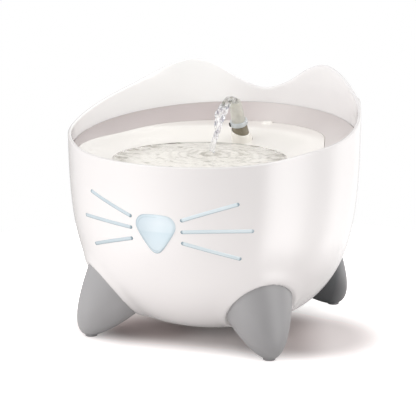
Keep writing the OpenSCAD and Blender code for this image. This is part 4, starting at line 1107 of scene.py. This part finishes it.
hinge_top = bend + lean_way * (collar_base + collar_h)
up_way = spout_way(spout_lean + nozzle_lean)
nozzle_len = 20
nozzle_rows = leaning(bend, spout_lean, (
    (9.6, 3.0), (9.5, 4.4), (9.7, 4.58), (12.1, 4.6), (12.2, 3.7), (13.2, 3.7), (13.3, 4.6), (16.2, 4.6),
    (16.3, 5.7), (16.5, 6.0), (19.2, 6.0),
))
nozzle_rows += leaning(hinge_top, spout_lean + nozzle_lean, (
    (0.3, 6.0), (1.2, 5.95), (4, 5.85), (8, 5.7), (12, 5.5), (16, 5.25), (19.2, 4.95), (19.8, 4.7),
    (nozzle_len, 4.3), (nozzle_len, 2.9), (19.7, 2.52), (12, 2.65), (4, 2.8), (0.0, 2.9),
))
nozzle_rows += leaning(bend, spout_lean, ((18.5, 3.0), (14.0, 3.0)))
nozzle = circles("nozzle_tube", nozzle_rows, 55)
nozzle_clear = clear_stuff(
    "nozzle_clear", (1.0, 0.99, 0.95, 1), 1.40, 0.14, (0.62, 0.61, 0.54, 1), clearness=0.5, cloud_scale=240.0
)
finish_piece(nozzle, nozzle_clear, "nozzle", "clear_plastic", "spout_nozzle")

stop_turn = math.radians(35)
stop_out = -(math.cos(stop_turn) * spout_across + math.sin(stop_turn) * np.cross(lean_way, spout_across))
stop_side = np.cross(lean_way, stop_out)
u = np.linspace(0, 2 * np.pi, 40, endpoint=False)
v = np.linspace(-np.pi / 2, np.pi / 2, 21)[:, None]


def squared_off(value):
    """A sine or cosine raised to the power 0.35 with its sign kept, for rounded box shapes."""
    return np.sign(value) * np.abs(value) ** 0.35


stop_depth, stop_width, stop_height = 1.0, 1.5, 1.6
stop_centre = bend + lean_way * (collar_base + collar_h / 2) + stop_out * collar_r
stop_grid = (
    stop_centre
    + stop_depth * (squared_off(np.cos(v)) * squared_off(np.cos(u)))[..., None] * stop_out
    + stop_width * (squared_off(np.cos(v)) * squared_off(np.sin(u)))[..., None] * stop_side
    + stop_height * (squared_off(np.sin(v)) + 0 * u)[..., None] * lean_way
)
stop = skin("nozzle_stop_block", stop_grid)
finish_piece(stop, pad_rubber, "nozzle", "pad_rubber", "nozzle_stop")
dress(pad_rubber, "nozzle_seal")

# ---------------------------------------------------------------------------------------
# Stream: water that fills the nozzle, swells out of its mouth, turns over and falls to the
# pool in a twisted rope that thins on its way down and spreads where it lands.
# ---------------------------------------------------------------------------------------
mouth = hinge_top + up_way * nozzle_len


def in_spout_plane(s, z):
    """Point in the spout's plane at a distance s from the pool's centre and a height z."""
    return np.array([s * math.sin(spout_turn), -pool_front + s * math.cos(spout_turn), z])


path_points = np.array([
    hinge_top + up_way * 1.0, hinge_top + up_way * 10, mouth - up_way * 0.6,
    *(in_spout_plane(s, z) for s, z in (
        (64.6, 186.8), (58.6, 188.3), (53.0, 188.5), (48.4, 187.0), (44.8, 184.0), (41.2, 180.2), (37.6, 175.6),
        (34.8, 170.8), (31.4, 165.8), (27.6, 160.8), (24.8, 155.8), (23.4, 151.6), (23.0, 148.6),
    )),
])
path_radii = [2.8, 2.65, 2.4, 2.6, 3.0, 3.4, 3.8, 3.9, 3.8, 3.6, 3.3, 2.7, 2.1, 1.8, 1.9, 2.4]


def smooth_path(stations, n):
    """Points and radii along a smooth curve through stations of four numbers: a cubic between each two whose
    slopes at the ends are those of the chord across their neighbours, evened out by length."""
    slopes = np.gradient(stations, axis=0)
    u = np.linspace(0, len(stations) - 1, 12 * n)
    i = np.minimum(u.astype(int), len(stations) - 2)
    t = (u - i)[:, None]
    h = [2 * t**3 - 3 * t**2 + 1, t**3 - 2 * t**2 + t, 3 * t**2 - 2 * t**3, t**3 - t**2]
    dense = h[0] * stations[i] + h[1] * slopes[i] + h[2] * stations[i + 1] + h[3] * slopes[i + 1]
    run = np.concatenate([[0], np.cumsum(np.linalg.norm(np.diff(dense[:, :3], axis=0), axis=1))])
    even = np.linspace(0, run[-1], n)
    found = np.stack([np.interp(even, run, column) for column in dense.T], axis=1)
    return found[:, :3], found[:, 3], even


stream_line, stream_r, stream_run = smooth_path(np.column_stack([path_points, path_radii]), 220)
tangent = np.gradient(stream_line, axis=0)
tangent /= np.linalg.norm(tangent, axis=1, keepdims=True)
level = np.broadcast_to(spout_across, tangent.shape)
upright = np.cross(tangent, level)
stream_sides = 64
phi = np.linspace(0, 2 * np.pi, stream_sides, endpoint=False)[None, :]
run = stream_run[:, None]
free = np.clip((run - 20) / 6, 0, 1)
ripple = (
    0.20 * np.cos(2 * phi - run * 0.23)
    + 0.10 * np.cos(3 * phi + run * 0.35 + 1)
    + 0.07 * np.sin(run * 0.75 + 2 * np.sin(phi))
    + 0.05 * np.cos(5 * phi - run * 0.6)
)
beads = 0.10 * np.sin(run * 0.42 + 0.5) * np.clip((run - 45) / 20, 0, 1)
radius = stream_r[:, None] * (1 + free * (ripple + beads))
sway = free * np.clip((stream_run[-1] - run) / 10, 0, 1) * 0.7 * np.sin(run * 0.21)
stream_grid = (
    stream_line[:, None]
    + (radius * np.cos(phi) + sway)[..., None] * level[:, None]
    + (radius * np.sin(phi))[..., None] * upright[:, None]
)
ends = [np.broadcast_to(stream_line[k], (1, stream_sides, 3)) for k in (0, -1)]
stream = skin("water_stream", np.concatenate([ends[0], stream_grid, ends[1]]))
stream_water = clear_stuff(
    "stream_water", (1.0, 1.0, 1.0, 1), 1.333, 0.015, (0.9, 0.9, 0.92, 1), clearness=0.78, cloud_scale=130.0
)
spot = positions(stream)
x, y, z = spot[:, 0], spot[:, 1], spot[:, 2]
# Painted reflections: the streak mark darkens the falling water in lavender-grey folds, and the mark near the
# mouth gives it a dark olive where the nozzle shows through.
folds = (
    np.sin(z * 0.62 + 1.6 * np.sin(x * 0.9 + 0.4) + 0.5)
    + 0.7 * np.sin(x * 1.5 + z * 0.35 + 1.1 * np.sin(z * 0.8))
    + 0.5 * np.sin(y * 0.8 - z * 1.1)
)
falling = np.clip((z - 158) / 12, 0, 1)
mark(stream, "painted_glint", np.clip(folds * 0.9 - 0.1, 0, 1) * falling)
mark(stream, "painted_dark_near_mouth", np.clip((z - 184) / 4, 0, 1) * np.clip(0.75 + 0.5 * folds, 0.2, 1))
towards(stream_water, (0.33, 0.33, 0.41, 1), "painted_glint")
towards(stream_water, (0.26, 0.26, 0.20, 1), "painted_dark_near_mouth")
finish_piece(stream, stream_water, "nozzle", None)

# ---------------------------------------------------------------------------------------
# Riser and filter: a clear tube from the pump to the spout with a rubber seal, and a white
# cartridge on it with a foam pad and a pad of carbon granules.
# ---------------------------------------------------------------------------------------
riser_clear = clear_stuff("riser_clear", (0.86, 0.90, 0.90, 1), 1.47, 0.08, (0.92, 0.94, 0.94, 1))
dress(riser_clear, "riser_tube")
dress(pad_rubber, "riser_seal")

filter_white = plastic(
    "filter_white_satin", linear(228, 231, 231), linear(220, 223, 223), 0.35, 0.45,
    cloud_scale=20.0, grain_scale=1800.0, grain=0.08,
)
dress(filter_white, "filter_tray", "filter_lid")


def relief(
    name, pattern, output, sunk, raised, rough_sunk, rough_raised, strength, depth, metal=0.0, **pattern_values
):
    """A material whose pattern leads from the sunk to the raised colour and roughness and lifts the surface."""
    material = new_material(name)
    tree = material.node_tree
    height = add(tree, pattern, vector=object_place(tree), **pattern_values).outputs[output]
    return shaded(
        material, metallic=metal, base_color=blend(tree, height, sunk, raised),
        roughness=ranged(tree, height, 0.0, 1.0, rough_sunk, rough_raised),
        normal=add(tree, "ShaderNodeBump", strength=strength, distance=depth, height=height),
    )


def porous(name, colour, pit_colour, cell, depth):
    """A porous mat: round cells of a given size that darken and sink towards their middles."""
    return relief(
        name, "ShaderNodeTexVoronoi", "Distance", pit_colour, colour, 0.95, 0.75, 0.9, depth, scale=1 / cell
    )


open_foam = porous("open_foam", (0.16, 0.17, 0.18, 1), (0.03, 0.032, 0.035, 1), 0.0011, 0.0004)
carbon = porous("carbon_granules", (0.035, 0.035, 0.036, 1), (0.008, 0.008, 0.009, 1), 0.0018, 0.0007)
dress(open_foam, "foam_pad")
dress(carbon, "carbon_pad")

# ---------------------------------------------------------------------------------------
# Pump: a dark satin motor block with its core and winding, a cover with inlet holes and a
# grey flow slider, and the rotor, a ferrite magnet and a white impeller on a ceramic pin.
# ---------------------------------------------------------------------------------------
pump_dark = plastic(
    "pump_dark_satin", (0.045, 0.05, 0.055, 1), (0.06, 0.064, 0.07, 1), 0.38, 0.5,
    cloud_scale=30.0, grain_scale=1500.0, grain=0.18,
)
dress(pump_dark, "pump_body", "pump_cover")
dress(foot_grey, "flow_slider")
dress(filter_white, "impeller")
dress(pad_rubber, "suction_cups", "pump_gland", "shaft_bush_rear", "shaft_bush_front")
shaft_ceramic = plastic(
    "shaft_ceramic", linear(236, 234, 228), linear(226, 223, 215), 0.08, 0.14,
    cloud_scale=80.0, grain=0.0, coat=0.4, ior=1.7,
)
dress(shaft_ceramic, "impeller_shaft")
magnet_ferrite = plastic(
    "magnet_ferrite", (0.085, 0.086, 0.092, 1), (0.12, 0.12, 0.125, 1), 0.5, 0.65,
    cloud_scale=120.0, grain_scale=2500.0, grain=0.3,
)
dress(magnet_ferrite, "rotor_magnet")


def striped_metal(name, colour, dark, along, pitch, roughness, sinks):
    """Metal in thin layers or turns: a wave along one axis of that pitch darkens and sinks every joint."""
    return relief(
        name, "ShaderNodeTexWave", "Fac", dark, colour, roughness * 1.5, roughness, 0.6, sinks, metal=1.0,
        scale=0.314 / pitch, distortion=0.4, detail=1.0, bands_direction=along,
    )


core_laminated = striped_metal(
    "core_laminated", (0.45, 0.46, 0.48, 1), (0.2, 0.2, 0.21, 1), "Y", 0.0005, 0.35, 0.0001
)
coil_copper = striped_metal(
    "coil_copper", (0.72, 0.36, 0.16, 1), (0.3, 0.12, 0.05, 1), "X", 0.0006, 0.3, 0.0003
)
dress(core_laminated, "stator_core")
dress(coil_copper, "stator_coil")

# ---------------------------------------------------------------------------------------
# Cable inlet: a soft black grommet in the rear wall, through which the cable would run.
# ---------------------------------------------------------------------------------------
dress(pad_rubber, "cable_grommet")
